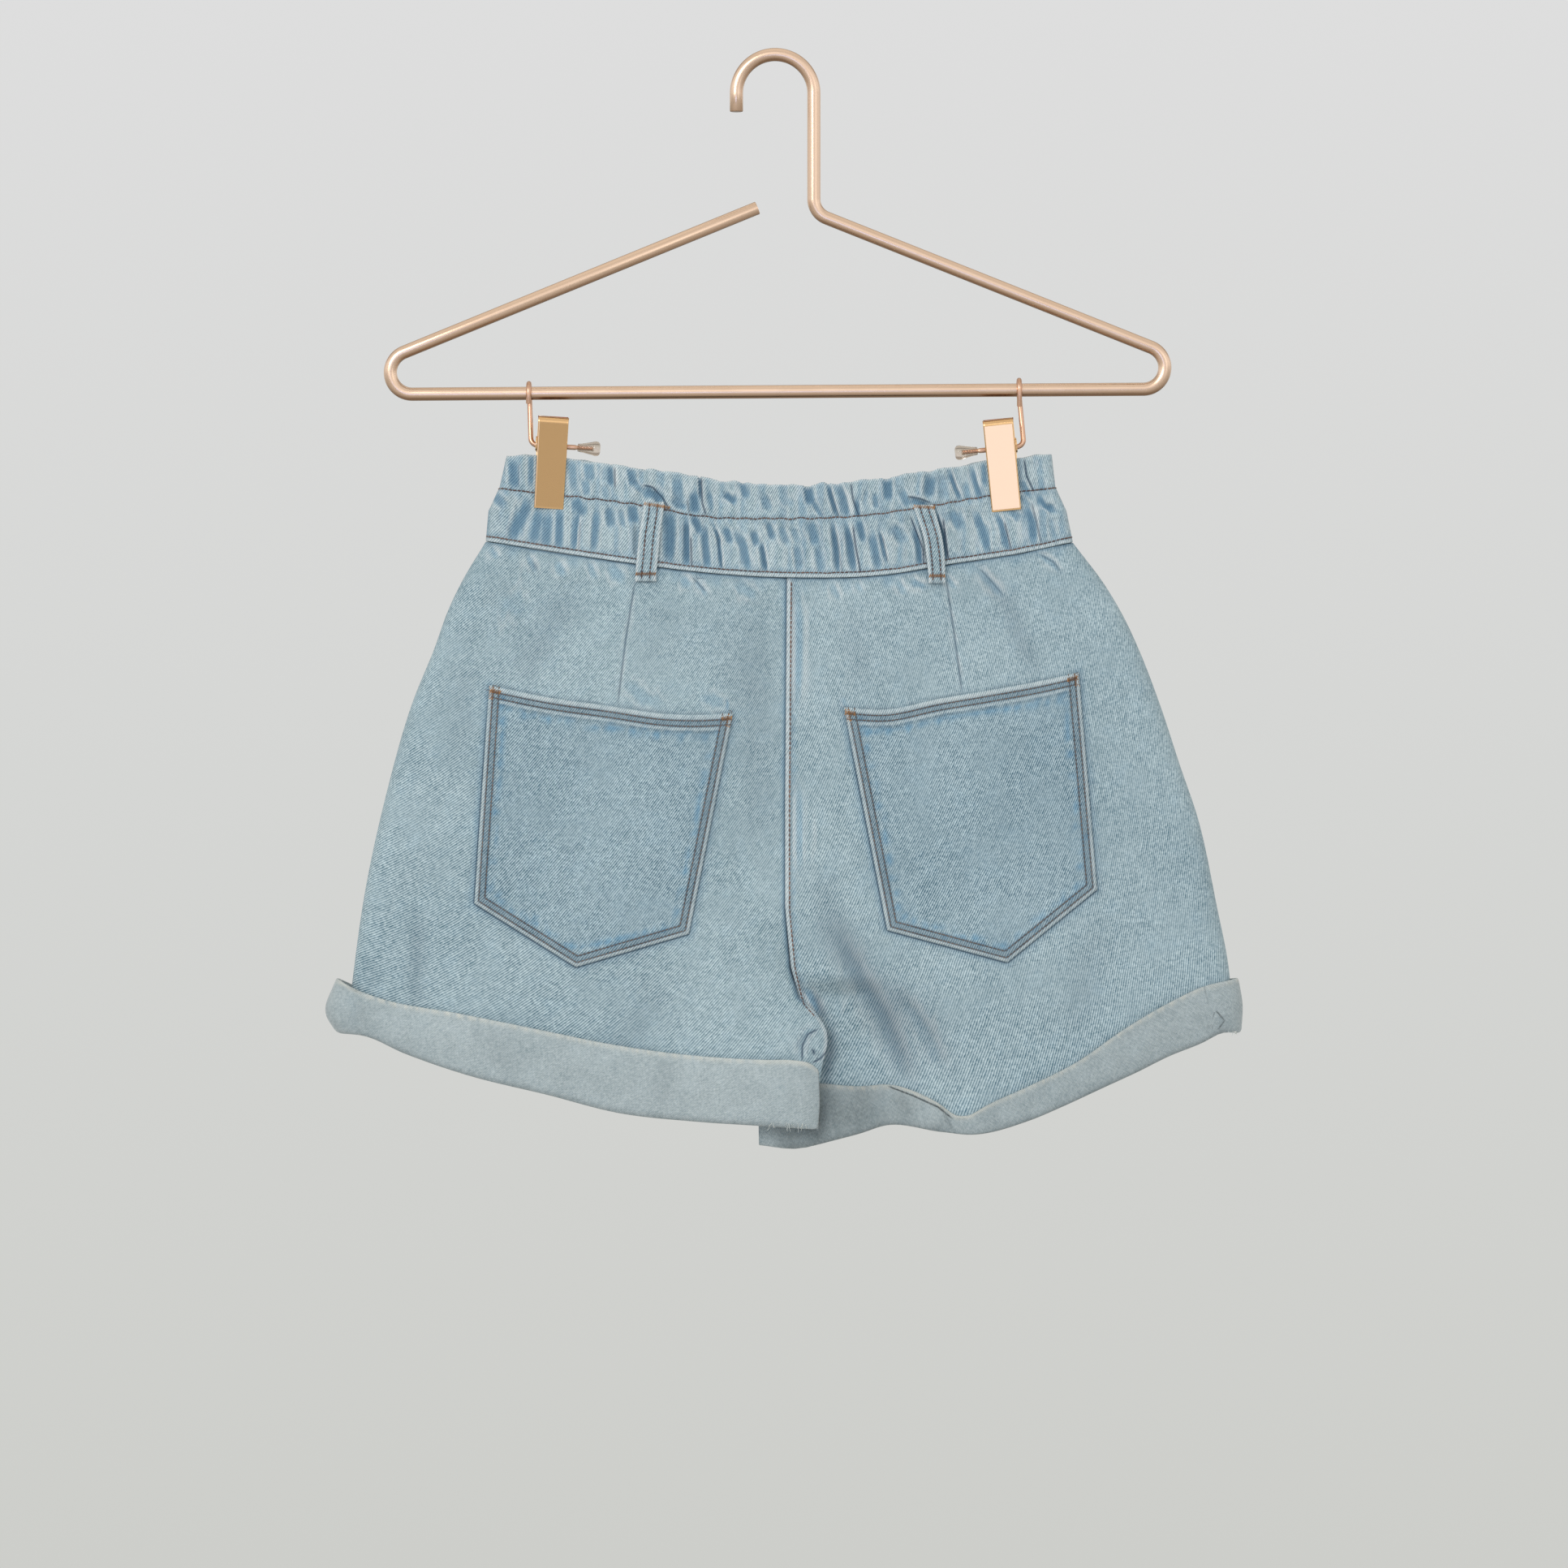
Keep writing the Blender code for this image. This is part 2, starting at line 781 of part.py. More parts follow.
def cuff_section(leg, face, u):
    """The cuff's cross-section: down its outer face, round its fold, and up its inside."""
    outer = CUFF + CUFF_CLEAR
    corners = (  # share of the way down, lift above that, how far out of the panel
        (0.0, 0.0, outer - 0.4),
        (0.5, 0.0, outer),
        (0.9, 0.0, outer - 0.2),
        (1.0, 0.0, outer - 1.8),
        (1.0, 0.0, 0.2),
        (1.0, CUFF_FOLD, -CLOTH),
        (1.0, CUFF_FOLD, CUFF_CLEAR),
        (0.5, 0.0, CUFF_CLEAR),
        (0.0, 0.0, CUFF_CLEAR + 0.3),
    )
    turned_end = face == leg.parted and u == 1  # where this half meets the other at the inseam
    ends = leg.cuff_ends
    section = []
    for down, lift, out in corners:
        side = through(column(ends, "down"), column(ends, "side"), down)
        inseam = through(column(ends, "down"), column(ends, "inseam"), down)
        side += leg.inward * (outer - out)
        if turned_end:
            out = min(out, -CLOTH) if out < outer / 2 else out
        else:
            inseam -= leg.inward * (outer - out)
        across = blend(side, inseam, u)
        top = height_at(leg.cuff_top, across)
        height = blend(top, height_at(leg.cuff_low, across), down) + lift
        depth = leg_depth(leg, face, across, height, u * abs(inseam - side), out)
        section.append((across, face * depth, height))
    return section


def make_cuffs(hem):
    for leg in (LEFT, RIGHT):
        for face, word in ((BACK, "back"), (FRONT, "front")):
            sections = [cuff_section(leg, face, u) for u in leg_columns()]
            ring_sweep(f"cuff_{leg.name}_{word}", sections, hem)


# --- the hanger and its clips


def turn(corner, before, after, radius):
    """Points of the arc that rounds a corner between two neighbours, in one plane."""
    corner, before, after = (np.array(p, float) for p in (corner, before, after))
    first = (before - corner) / np.linalg.norm(before - corner)
    last = (after - corner) / np.linalg.norm(after - corner)
    half = math.acos(np.clip(first @ last, -1, 1)) / 2
    middle = corner + (first + last) / np.linalg.norm(first + last) * radius / math.sin(half)
    start = corner + first * radius / math.tan(half) - middle
    end = corner + last * radius / math.tan(half) - middle
    swing = math.pi - 2 * half
    steps = max(2, math.ceil(swing / ARC_STEP))
    points = []
    for k in range(steps + 1):
        share = k / steps
        spread = math.sin((1 - share) * swing) * start + math.sin(share * swing) * end
        points.append(middle + spread / math.sin(swing))
    return points


def wire(name, points, radius, finish, sides_level=4):
    data = bpy.data.curves.new(name, "CURVE")
    data.dimensions = "3D"
    data.bevel_depth = radius * MM
    data.bevel_resolution = sides_level
    data.use_fill_caps = True
    data.render_resolution_u = 0
    line = data.splines.new("POLY")
    line.points.add(len(points) - 1)
    for spot, point in zip(line.points, points):
        spot.co = (*(c * MM for c in point), 1)
    data.materials.append(finish)
    made = bpy.data.objects.new(name, data)
    bpy.context.collection.objects.link(made)
    return made


def make_hanger(metal):
    middle = -HOOK_RADIUS + WIRE_RADIUS
    points = [(-HOOK_RADIUS, 0, middle - HOOK_TIP_DROP)]
    steps = math.ceil(math.pi / ARC_STEP)
    for k in range(steps + 1):
        angle = math.pi * (1 - k / steps)
        points.append((HOOK_RADIUS * math.cos(angle), 0, middle + HOOK_RADIUS * math.sin(angle)))
    neck = (HOOK_RADIUS, 0, NECK_FOOT)
    right = (RIGHT_CORNER[0], 0, RIGHT_CORNER[1])
    left = (LEFT_CORNER[0], 0, LEFT_CORNER[1])
    end = (OPEN_END[0], 0, OPEN_END[1])
    points += turn(neck, points[-1], right, NECK_ROUND)
    points += turn(right, neck, left, CORNER_ROUND)
    points += turn(left, right, end, CORNER_ROUND)
    points.append(end)
    wire("hanger_wire", points, WIRE_RADIUS, metal)


def bar_height(across):
    share = (across - LEFT_CORNER[0]) / (RIGHT_CORNER[0] - LEFT_CORNER[0])
    return blend(LEFT_CORNER[1], RIGHT_CORNER[1], share)


def clip_wire_points(clip):
    """From the pin's end in the rubber tip, through the clip, up behind the bar and over it."""
    tilt = math.radians(clip.tilt)
    pin = np.array([math.cos(tilt), 0, -math.sin(tilt)]) * clip.tip_way
    middle = np.array([clip.across, 0, clip.height])
    start = middle + pin * (clip.tip_start + TIP_BORE_DEPTH - SEAM_GAP - 0.5)
    elbow = middle - pin * clip.shank_out
    hook_across = clip.across - clip.tip_way * clip.hook_out
    bar = bar_height(hook_across)
    behind = np.array([hook_across, LOOP_RADIUS, bar - 4])
    points = [start] + turn(elbow, middle, behind, CLIP_ROUND)
    steps = 8
    for k in range(steps + 1):
        angle = math.pi * k / steps
        points.append((hook_across, LOOP_RADIUS * math.cos(angle), bar + LOOP_RADIUS * math.sin(angle)))
    points.append((hook_across, -LOOP_RADIUS, clip.hook_end))
    return points


def plate_points(face):
    """The eight corners of a plate, flat and leaning in towards its jaw."""
    points = []
    for height, half, out in (
        (PLATE_TOP, PLATE_TOP_HALF, PLATE_TOP_OUT),
        (PLATE_BOTTOM, PLATE_BOTTOM_HALF, PLATE_BOTTOM_OUT),
    ):
        for across in (-half, half):
            for depth in (out, out - PLATE):
                points.append((across, face * depth, height))
    return points


BOX_FACES = [(0, 1, 3, 2), (4, 6, 7, 5), (0, 2, 6, 4), (1, 5, 7, 3), (0, 4, 5, 1), (2, 3, 7, 6)]


def ear_mesh(name, across, face, finish):
    """A flat ear from the plate to past the pin, with the pin's hole through it."""
    plate_out = blend(PLATE_TOP_OUT, PLATE_BOTTOM_OUT, PLATE_TOP / (PLATE_TOP - PLATE_BOTTOM))
    root = plate_out - PLATE / 2
    steps = 16
    rims = []
    for k in range(steps):
        angle = 2 * math.pi * k / steps
        y, z = math.cos(angle), math.sin(angle)
        hole = (EAR_HOLE * y, EAR_HOLE * z)
        if abs(angle - math.pi) < math.pi / 2:
            rim = ((EAR_RADIUS - 0.6) * y, EAR_RADIUS * z)
        else:
            rim = (root * min(1, y * 1.8), EAR_RADIUS * max(-1, min(1, z * 1.6)))
        rims.append((hole, rim))
    points = []
    for side in (-EAR / 2, EAR / 2):
        for pair in rims:
            points += [(across + side, face * y, z) for y, z in pair]
    faces = []
    back = 2 * steps
    for k in range(steps):
        n = (k + 1) % steps
        hole, rim, next_hole, next_rim = 2 * k, 2 * k + 1, 2 * n, 2 * n + 1
        faces.append((hole, rim, next_rim, next_hole))
        faces.append((back + hole, back + next_hole, back + next_rim, back + rim))
        faces.append((hole, next_hole, back + next_hole, back + hole))
        faces.append((rim, back + rim, back + next_rim, next_rim))
    return mesh_object(name, points, faces, finish)


def make_plate(name, face, ear_across, finish):
    plate = mesh_object(name, plate_points(face), BOX_FACES, finish)
    helpers = []
    for side in (-1, 1):
        ear = ear_mesh(f"{name}_ear_{side}", side * ear_across, face, finish)
        ear.hide_render = True
        ear.display_type = "WIRE"
        join = plate.modifiers.new(f"ear_{side}", "BOOLEAN")
        join.operation = "UNION"
        join.object = ear
        helpers.append(ear)
    return plate, helpers


def turned(name, profile, way, finish, steps=12):
    """A closed round piece about X: profile rows are (along, radius)."""
    points = []
    rows = []
    for reach, radius in profile:
        if radius == 0:
            rows.append([len(points)])
            points.append((way * reach, 0, 0))
            continue
        rows.append(list(range(len(points), len(points) + steps)))
        for k in range(steps):
            angle = 2 * math.pi * k / steps
            points.append((way * reach, radius * math.cos(angle), radius * math.sin(angle)))
    faces = []
    pairs = list(zip(rows, rows[1:] + rows[:1]))
    for here, there in pairs:
        for k in range(steps):
            n = (k + 1) % steps
            if len(here) == 1 and len(there) == 1:
                continue
            if len(here) == 1:
                faces.append((here[0], there[n], there[k]))
            elif len(there) == 1:
                faces.append((here[k], here[n], there[0]))
            else:
                faces.append((here[k], here[n], there[n], there[k]))
    return mesh_object(name, points, faces, finish)


def make_clip(clip, metal, rubber):
    holder = bpy.data.objects.new(f"clip_{clip.name}", None)
    holder.location = (clip.across * MM, 0, clip.height * MM)
    holder.rotation_euler = (0, math.radians(clip.tilt), 0)
    bpy.context.collection.objects.link(holder)
    pieces = []
    for face, word, ear in ((BACK, "front", FRONT_EAR), (FRONT, "back", BACK_EAR)):
        plate, helpers = make_plate(f"clip_{clip.name}_{word}_plate", face, ear, metal)
        pieces += [plate] + helpers
    bore = PIN_RADIUS + SEAM_GAP
    half = SPRING_LENGTH / 2
    coil = ((-half, bore), (-half, SPRING_RADIUS), (half, SPRING_RADIUS), (half, bore))
    pieces.append(turned(f"clip_{clip.name}_spring", coil, 1, metal))
    start = clip.tip_start
    end = start + TIP_LENGTH
    tip = (
        (start, bore - 0.1),
        (start, 2.1),
        (start + 4, 2.8),
        (end - 2.5, 4.0),
        (end - 0.8, 3.6),
        (end, 2.2),
        (end + 0.1, 0),
        (start + TIP_BORE_DEPTH, 0),
        (start + TIP_BORE_DEPTH, bore - 0.1),
    )
    pieces.append(turned(f"clip_{clip.name}_tip", tip, clip.tip_way, rubber))
    for piece in pieces:
        piece.parent = holder
    wire(f"clip_{clip.name}_wire", clip_wire_points(clip), PIN_RADIUS, metal, 2)


def main():
    for old in list(bpy.data.objects):
        bpy.data.objects.remove(old)
    denim = material("denim", (0.32, 0.42, 0.47), 0.85)
    pocket_denim = material("pocket denim", (0.27, 0.38, 0.43), 0.85)
    hem = material("denim wrong side", (0.36, 0.42, 0.44), 0.9)
    satin = material("satin rose gold", (0.72, 0.47, 0.31), 0.34, 1.0)
    polished = material("polished rose gold", (0.80, 0.52, 0.38), 0.22, 1.0)
    rubber = material("clear rubber", (0.80, 0.72, 0.64), 0.25)
    make_panels(denim)
    make_bands(denim)
    make_pocket("pocket_left", LEFT_MOUTH, LEFT_POINT, pocket_denim)
    make_pocket("pocket_right", RIGHT_MOUTH, RIGHT_POINT, pocket_denim)
    make_loops(denim)
    make_cuffs(hem)
    make_hanger(satin)
    for clip in CLIPS:
        make_clip(clip, polished, rubber)


main()
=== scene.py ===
# Denim shorts on a clip hanger: the cloth, its stitching, the clips, the light and the camera.
import math

import bmesh
import bpy
import numpy as np
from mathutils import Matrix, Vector
from mathutils.bvhtree import BVHTree


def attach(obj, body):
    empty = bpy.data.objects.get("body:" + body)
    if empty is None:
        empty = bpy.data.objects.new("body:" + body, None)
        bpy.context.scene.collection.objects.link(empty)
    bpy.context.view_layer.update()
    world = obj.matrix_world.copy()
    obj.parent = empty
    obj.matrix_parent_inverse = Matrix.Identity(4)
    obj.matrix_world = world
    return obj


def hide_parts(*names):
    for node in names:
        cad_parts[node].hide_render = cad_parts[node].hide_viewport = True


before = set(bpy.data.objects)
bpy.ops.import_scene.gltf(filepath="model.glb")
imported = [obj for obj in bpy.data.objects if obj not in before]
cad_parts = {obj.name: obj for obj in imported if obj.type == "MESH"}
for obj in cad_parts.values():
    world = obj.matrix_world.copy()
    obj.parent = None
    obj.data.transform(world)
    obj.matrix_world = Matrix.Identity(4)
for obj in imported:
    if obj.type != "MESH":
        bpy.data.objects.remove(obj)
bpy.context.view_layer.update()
mm = 0.001  # tables are in millimetres, meshes in metres
back, front = -1, 1  # which way a face of the shorts looks along Y
faceWords = {back: "back", front: "front"}
outOfBack = Vector((0, -1, 0))
print("frame loaded")

# curves


def rise(value, low, high):
    share = np.clip((value - low) / (high - low), 0.0, 1.0)
    return share * share * (3 - 2 * share)


def blend(start, end, share):
    return start + (end - start) * share


def through(knots, values, at):
    # a smooth curve through the values, flat past both ends
    knots, values = np.asarray(knots, float), np.asarray(values, float)
    slopes = np.gradient(values, knots)
    at = np.clip(at, knots[0], knots[-1])
    i = np.clip(np.searchsorted(knots, at, side="right") - 1, 0, len(knots) - 2)
    span = knots[i + 1] - knots[i]
    t = (at - knots[i]) / span
    start = (2 * t**3 - 3 * t**2 + 1) * values[i] + (t**3 - 2 * t**2 + t) * span * slopes[i]
    return start + (3 * t**2 - 2 * t**3) * values[i + 1] + (t**3 - t**2) * span * slopes[i + 1]


def heightAt(rows, across):
    rows = np.array(rows, float)
    return through(rows[:, 0], rows[:, 1], across)


def along(rows, share):
    points = np.array(rows, float)
    lengths = runLengths(points)
    at = share * lengths[-1]
    return through(lengths, points[:, 0], at), through(lengths, points[:, 1], at)


def byRow(rows, share):
    points = np.array(rows, float)
    steps = np.arange(len(points))
    at = np.clip(share, 0, 1) * (len(points) - 1)
    return np.interp(at, steps, points[:, 0]), np.interp(at, steps, points[:, 1])


def rounded(distance, radius):
    return np.sqrt(1 - (1 - np.clip(distance / radius, 0.0, 1.0)) ** 2)


def bell(value, middle, width):
    return np.exp(-(((value - middle) / width) ** 2))


def unit(vector):
    return vector / np.linalg.norm(vector)


def runLengths(points):
    # how far along the path each of its points lies
    return np.concatenate([[0], np.cumsum(np.linalg.norm(np.diff(points, axis=0), axis=1))])


def pairs(ends):
    # points from a flat row of across, height, across, height
    return list(zip(ends[::2], ends[1::2]))


def strokesOf(rows):
    # creases from rows of half width, depth, sharp side, blue and then the points
    return [(pairs(row[4:]), *row[:4]) for row in rows]


def spacing(marks):
    # marks: start, then (step, end) pairs
    at, made = marks[0], [marks[0]]
    for step, end in marks[1:]:
        count = max(1, round((end - at) / step))
        made += [at + (end - at) * (k + 1) / count for k in range(count)]
        at = end
    return np.array(made)


# the form of the shorts, as the solids have it

cloth = {
    "layer": 1.2,
    "seamGap": 0.1,
    "sideRound": 13.0,
    "inseamRound": 32.0,
    "clipDepth": 2.1,
    "cuffThick": 3.2,
    "cuffClear": 0.8,
    "legClear": 0.5,
    "crossingFade": (14.0, 66.0),
    "pinchHalf": 9,
    "pinchFade": 26,
    "pinchRows": (-335, -252),
}
clips = {
    "left": {"across": -120.6, "height": -208.8, "tilt": 3.4, "tipWay": 1, "tipStart": 13.5,
             "hookEnd": -186.1, "shankOut": 11.8, "hookOut": 12.9, "yaw": 8.0},
    "right": {"across": 121.9, "height": -210.1, "tilt": -5.8, "tipWay": -1, "tipStart": 12.2,
              "hookEnd": -187.6, "shankOut": 13.2, "hookOut": 10.4, "yaw": -6.0},
}
depths = np.array([  # height, half depth at the back, at the front
    (-213, 9.0, 8.0), (-262, 9.0, 8.5), (-300, 11.0, 10.0), (-360, 13.0, 12.0),
    (-430, 13.0, 12.0), (-500, 11.5, 11.0), (-540, 10.0, 10.0), (-592, 10.0, 10.0),
])
troughs = [  # face, from, to, half width, depth
    (back, -112, -290, -172, -352, 17, 1.8),
    (back, -193, -452, -195, -512, 15, 2.6),
    (back, -12, -300, -12, -440, 16, 1.2),
    (back, 112, -282, 150, -325, 14, 2.4),
    (back, 52, -486, 100, -560, 15, 2.4),
    (back, 180, -480, 160, -530, 17, 1.6),
    (front, -95, -290, -150, -350, 17, 1.8),
    (front, 90, -290, 150, -345, 17, 1.8),
    (front, 12, -300, 14, -440, 16, 1.2),
    (front, 185, -440, 190, -505, 16, 2.2),
    (front, -60, -480, -95, -545, 15, 2.0),
]
waistSeam = [(-157, -260.5), (-112, -267.5), (-72.5, -273.5), (-46, -277), (6.5, -280.5),
             (64, -278.5), (92.5, -273.5), (138.5, -266), (161.5, -261)]
casingStitch = [(-150, -232), (-112, -236), (-77, -240.5), (-37.5, -247.5), (-2, -248.5),
                (46, -247), (90, -240.5), (112, -236.5), (152, -231.5)]
frillEdge = [(-145, -214.5), (-119, -215), (-94.5, -219), (-59.5, -223.5), (-24, -229),
             (11, -231), (37.5, -229.5), (81.5, -223.5), (113, -218), (150.5, -213.5)]
bandSides = np.array([(-261, -157, 161.5), (-244, -155.5, 158), (-231, -149.5, 152), (-214, -145.5, 150)])
seatSeam = [(6.5, -280.6), (6, -340), (5.5, -400), (5.5, -460), (8.5, -492), (13, -508)]
legs = {
    "left": {
        "inward": 1,
        "parted": front,
        "side": [(-157, -260.7), (-169.5, -281.5), (-177, -297), (-185, -319), (-196, -346),
                 (-211, -398), (-222.5, -451), (-229, -497), (-232, -523.5)],
        "inseam": [(13, -508), (19.2, -514), (25.2, -520.5), (28.2, -527), (28.5, -533), (27, -539.5),
                   (25.4, -546),
                   (24.4, -553), (22, -564), (20, -576)],
        "cuffTop": [(-238, -497), (-228.5, -502), (-212.5, -508), (-170.5, -516), (-121, -526),
                    (-94.5, -531.5), (-50.5, -538), (-6.5, -541), (12, -541.5), (19, -543), (24, -547)],
        "cuffLow": [(-236, -527), (-222.5, -528), (-200.5, -537.5), (-169, -548.5), (-121, -560.5),
                    (-86, -569.5), (-42, -574.5), (-4, -577), (24, -579)],
        "cuffEnds": [(0.0, -238, 23.6), (0.7, -243.3, 24), (1.0, -238, 23.4)],
        "twill": (46, 10),
    },
    "right": {
        "inward": -1,
        "parted": back,
        "side": [(161.5, -261.2), (179, -284.5), (189, -301.5), (198, -321), (209, -350),
                 (219.5, -382), (229, -410), (239, -456), (246.5, -497), (247.5, -523)],
        "inseam": [(13, -508), (9, -520), (3, -533), (-1, -543), (-4, -552), (-5.3, -568), (-5.3, -585)],
        "cuffTop": [(-9, -552), (25.5, -554.5), (45, -556), (63.5, -555), (87.5, -564), (98, -571),
                    (104.5, -571), (114.5, -565.5), (136.5, -555.5), (165, -541), (187, -525.5),
                    (212, -510.5), (231, -501.5), (251.5, -497)],
        "cuffLow": [(-9, -588), (12, -590), (30, -586), (46.5, -581.5), (59.5, -577), (90, -580),
                    (106, -581.5), (137, -574), (156, -566), (176.5, -556.5), (196, -547.5),
                    (212, -539.5), (232.5, -531), (240, -527), (253.5, -527)],
        "cuffEnds": [(0.0, 251.2, -8.6), (0.5, 253.4, -9), (1.0, 253, -8.8)],
        "twill": (73, 8),
    },
}


def pinch(across, height):
    # how much the clips press front and back together
    shares = []
    for clip in clips.values():
        away = np.maximum(np.abs(across - clip["across"]) - cloth["pinchHalf"], 0)
        shares.append(bell(away, 0, cloth["pinchFade"]))
    return np.max(shares, axis=0) * rise(height, *cloth["pinchRows"])


def faceDepth(face, across, height):
    flat = np.interp(-height, -depths[:, 0], depths[:, 1 if face == back else 2])
    share = pinch(across, height)
    dip = np.zeros(np.shape(across))
    for side, x, z, toX, toZ, width, depth in troughs:
        if side == face:
            dip += depth * bell(fromLine(across, height, (x, z), (toX, toZ))[0], 0, width)
    return blend(flat, cloth["clipDepth"], share) - dip * (1 - share)


def fromLine(across, height, start, end):
    # distance from a segment, share of the way along it, and which side (1 is right of a way down)
    run = np.array(end, float) - start
    share = np.clip(((across - start[0]) * run[0] + (height - start[1]) * run[1]) / (run @ run), 0, 1)
    offX, offZ = across - start[0] - share * run[0], height - start[1] - share * run[1]
    return np.hypot(offX, offZ), share, np.sign(run[0] * offZ - run[1] * offX)


def centreAt(leg, height):
    rows = np.array(seatSeam + leg["inseam"][1:])
    return np.interp(-height, -rows[:, 1], rows[:, 0])


def legDepth(leg, face, across, height, fromSide, outward):
    other = legs["right"] if leg is legs["left"] else legs["left"]
    parting = cloth["legClear"] + (cloth["cuffThick"] + cloth["cuffClear"]) * rise(-height, 508, 538)
    fromInseam = leg["inward"] * (centreAt(leg, height) - across)
    apart, drawn = rise(-height, 495, 508), rise(-height, 452, 508)
    inner = 1 - drawn * (1 - rounded(fromInseam + outward, cloth["inseamRound"] + outward))
    shape = rounded(fromSide, cloth["sideRound"] + outward) * inner
    full = faceDepth(face, across, height) + outward
    gap = cloth["seamGap"] / 2
    if face != leg["parted"]:
        lifted = (parting + cloth["layer"] + 0.3) * apart * (1 - rise(fromInseam, 30, 90))
        return gap + lifted + (full - lifted) * shape
    pastOther = leg["inward"] * (centreAt(other, height) - across)
    against = apart * (1 - rise(pastOther, *cloth["crossingFade"]))
    return blend(gap + full * shape, outward - parting, against)


def nearPath(across, height, path, reach):
    # where the cloth is near the path, how far off it is, how far along, and on which side
    path = np.array(path, float)
    near = np.nonzero(
        (across > path[:, 0].min() - reach) & (across < path[:, 0].max() + reach)
        & (height > path[:, 1].min() - reach) & (height < path[:, 1].max() + reach)
    )
    x, z = across[near], height[near]
    lengths = np.linalg.norm(np.diff(path, axis=0), axis=1)
    starts = np.concatenate([[0], np.cumsum(lengths)])
    best, at, side = np.full(x.shape, 1e9), np.zeros(x.shape), np.zeros(x.shape)
    for k in range(len(lengths)):
        away, share, hand = fromLine(x, z, path[k], path[k + 1])
        closer = away < best
        best = np.where(closer, away, best)
        at = np.where(closer, (starts[k] + share * lengths[k]) / starts[-1], at)
        side = np.where(closer, hand, side)
    return near, best, at, side


def crease(across, height, strokes):
    # how deep the creases are, how blue they are from unfaded cloth and painted shade in the valley, and how
    # worn the edge beside them;
    # a stroke is (points, half width, depth, sharp side, blue), the sharp side 1 on the right
    depth, blue, wear = (np.zeros(np.shape(across)) for _ in range(3))
    for path, width, deep, sharp, tint in strokes:
        near, best, at, side = nearPath(across, height, path, 4 * width + 1)
        best = best * (1 + 0.22 * ripple(across[near], 0.5 * height[near], 97, 6, 1.0))
        fade = rise(at, -0.1, 0.3) * rise(1 - at, -0.1, 0.3)
        wide = np.where(side == sharp, 0.42, 1.0) * width * blend(0.6, 1.0, fade)
        dip = np.exp(-1.3 * (best / wide) ** 2) * fade
        filled = (1 - rise(best, 0.35 * wide, 1.55 * wide)) * fade
        edge = bell(best, 1.5 * wide, 0.45 * width) * fade * np.where(side == sharp, 1.0, 0.55)
        depth[near] += deep * dip - 0.25 * deep * edge
        blue[near] = np.maximum(blue[near], tint * filled)
        wear[near] = np.maximum(wear[near], min(1, tint + 0.35) * edge)
    return depth, blue, wear * (1 - blue)


def shade(across, height, lines):
    # painted shade in the cloth's thin folds and its broad soft hollows: (half width, amount, points)
    dark = np.zeros(np.shape(across))
    for width, amount, *ends in lines:
        near, best, at, _ = nearPath(across, height, pairs(ends), 3 * width + 1)
        soft = bell(best, 0, width) * rise(at, -0.15, 0.2) * rise(1 - at, -0.15, 0.2)
        dark[near] = 1 - (1 - dark[near]) * (1 - amount * soft)
    return dark


def foldLines(across, height, lines, reach=4.0):
    # signed distance from the nearest thin fold, and how dark its painted shadow line is: (amount, points)
    nearest, share = np.full(np.shape(across), reach), np.zeros(np.shape(across))
    for amount, *ends in lines:
        near, best, at, side = nearPath(across, height, pairs(ends), reach)
        closer = best < np.abs(nearest[near])
        fade = rise(at, -0.04, 0.1) * rise(1 - at, -0.04, 0.1) * (1 - rise(best, 0.6 * reach, 0.95 * reach))
        nearest[near] = np.where(closer, np.where(side < 0, -best, best), nearest[near])
        share[near] = np.where(closer, amount * fade, share[near])
    return nearest, share


def flatPoints(points):
    return [float(c) for point in points for c in point]


def ripple(across, height, seed, step, amount):
    # uneven low waves across the cloth
    picked = np.random.default_rng(seed)
    total = 0.0
    for _ in range(7):
        pitch = picked.uniform(0.6, 1.7) * step
        turn, slant = picked.uniform(0, 6.3), picked.uniform(-0.25, 0.25)
        total = total + np.sin((across + slant * height) * 2 * math.pi / pitch + turn)
    return amount * total / 2.6


# meshes


def plainMesh(name, points, faces, materials, slots=None, uv=None, marks=None):
    mesh = bpy.data.meshes.new(name)
    faces = np.asarray(faces, np.int32)
    mesh.vertices.add(len(points))
    mesh.vertices.foreach_set("co", (np.asarray(points, float) * mm).astype(np.float32).ravel())
    mesh.loops.add(faces.size)
    mesh.loops.foreach_set("vertex_index", faces.ravel())
    mesh.polygons.add(len(faces))
    mesh.polygons.foreach_set("loop_start", np.arange(0, faces.size, faces.shape[1], dtype=np.int32))
    mesh.polygons.foreach_set("loop_total", np.full(len(faces), faces.shape[1], np.int32))
    if slots is not None:
        mesh.polygons.foreach_set("material_index", np.asarray(slots, np.int32))
    for material in materials:
        mesh.materials.append(material)
    if uv is not None:
        layer = mesh.uv_layers.new(name="weave")
        layer.data.foreach_set("uv", (np.asarray(uv, float)[faces.ravel()] * mm).astype(np.float32).ravel())
    for key, values in (marks or {}).items():
        mesh.attributes.new(key, "FLOAT", "POINT").data.foreach_set(
            "value", np.asarray(values, np.float32).ravel())
    mesh.update(calc_edges=True)
    mesh.validate()
    mesh.shade_smooth()
    made = bpy.data.objects.new(name, mesh)
    bpy.context.collection.objects.link(made)
    return made


def wallFaces(rows, columns):
    # two grids of points back to back, then the rim that joins them
    total = rows * columns
    index = np.arange(total).reshape(rows, columns)
    quads = np.stack([index[:-1, :-1], index[:-1, 1:], index[1:, 1:], index[1:, :-1]], -1).reshape(-1, 4)
    ring = np.concatenate([index[0], index[1:, -1], index[-1, -2::-1], index[-2:0:-1, 0]])
    after = np.roll(ring, -1)
    rim = np.stack([ring, ring + total, after + total, after], -1)
    return np.concatenate([quads, quads[:, ::-1] + total, rim])


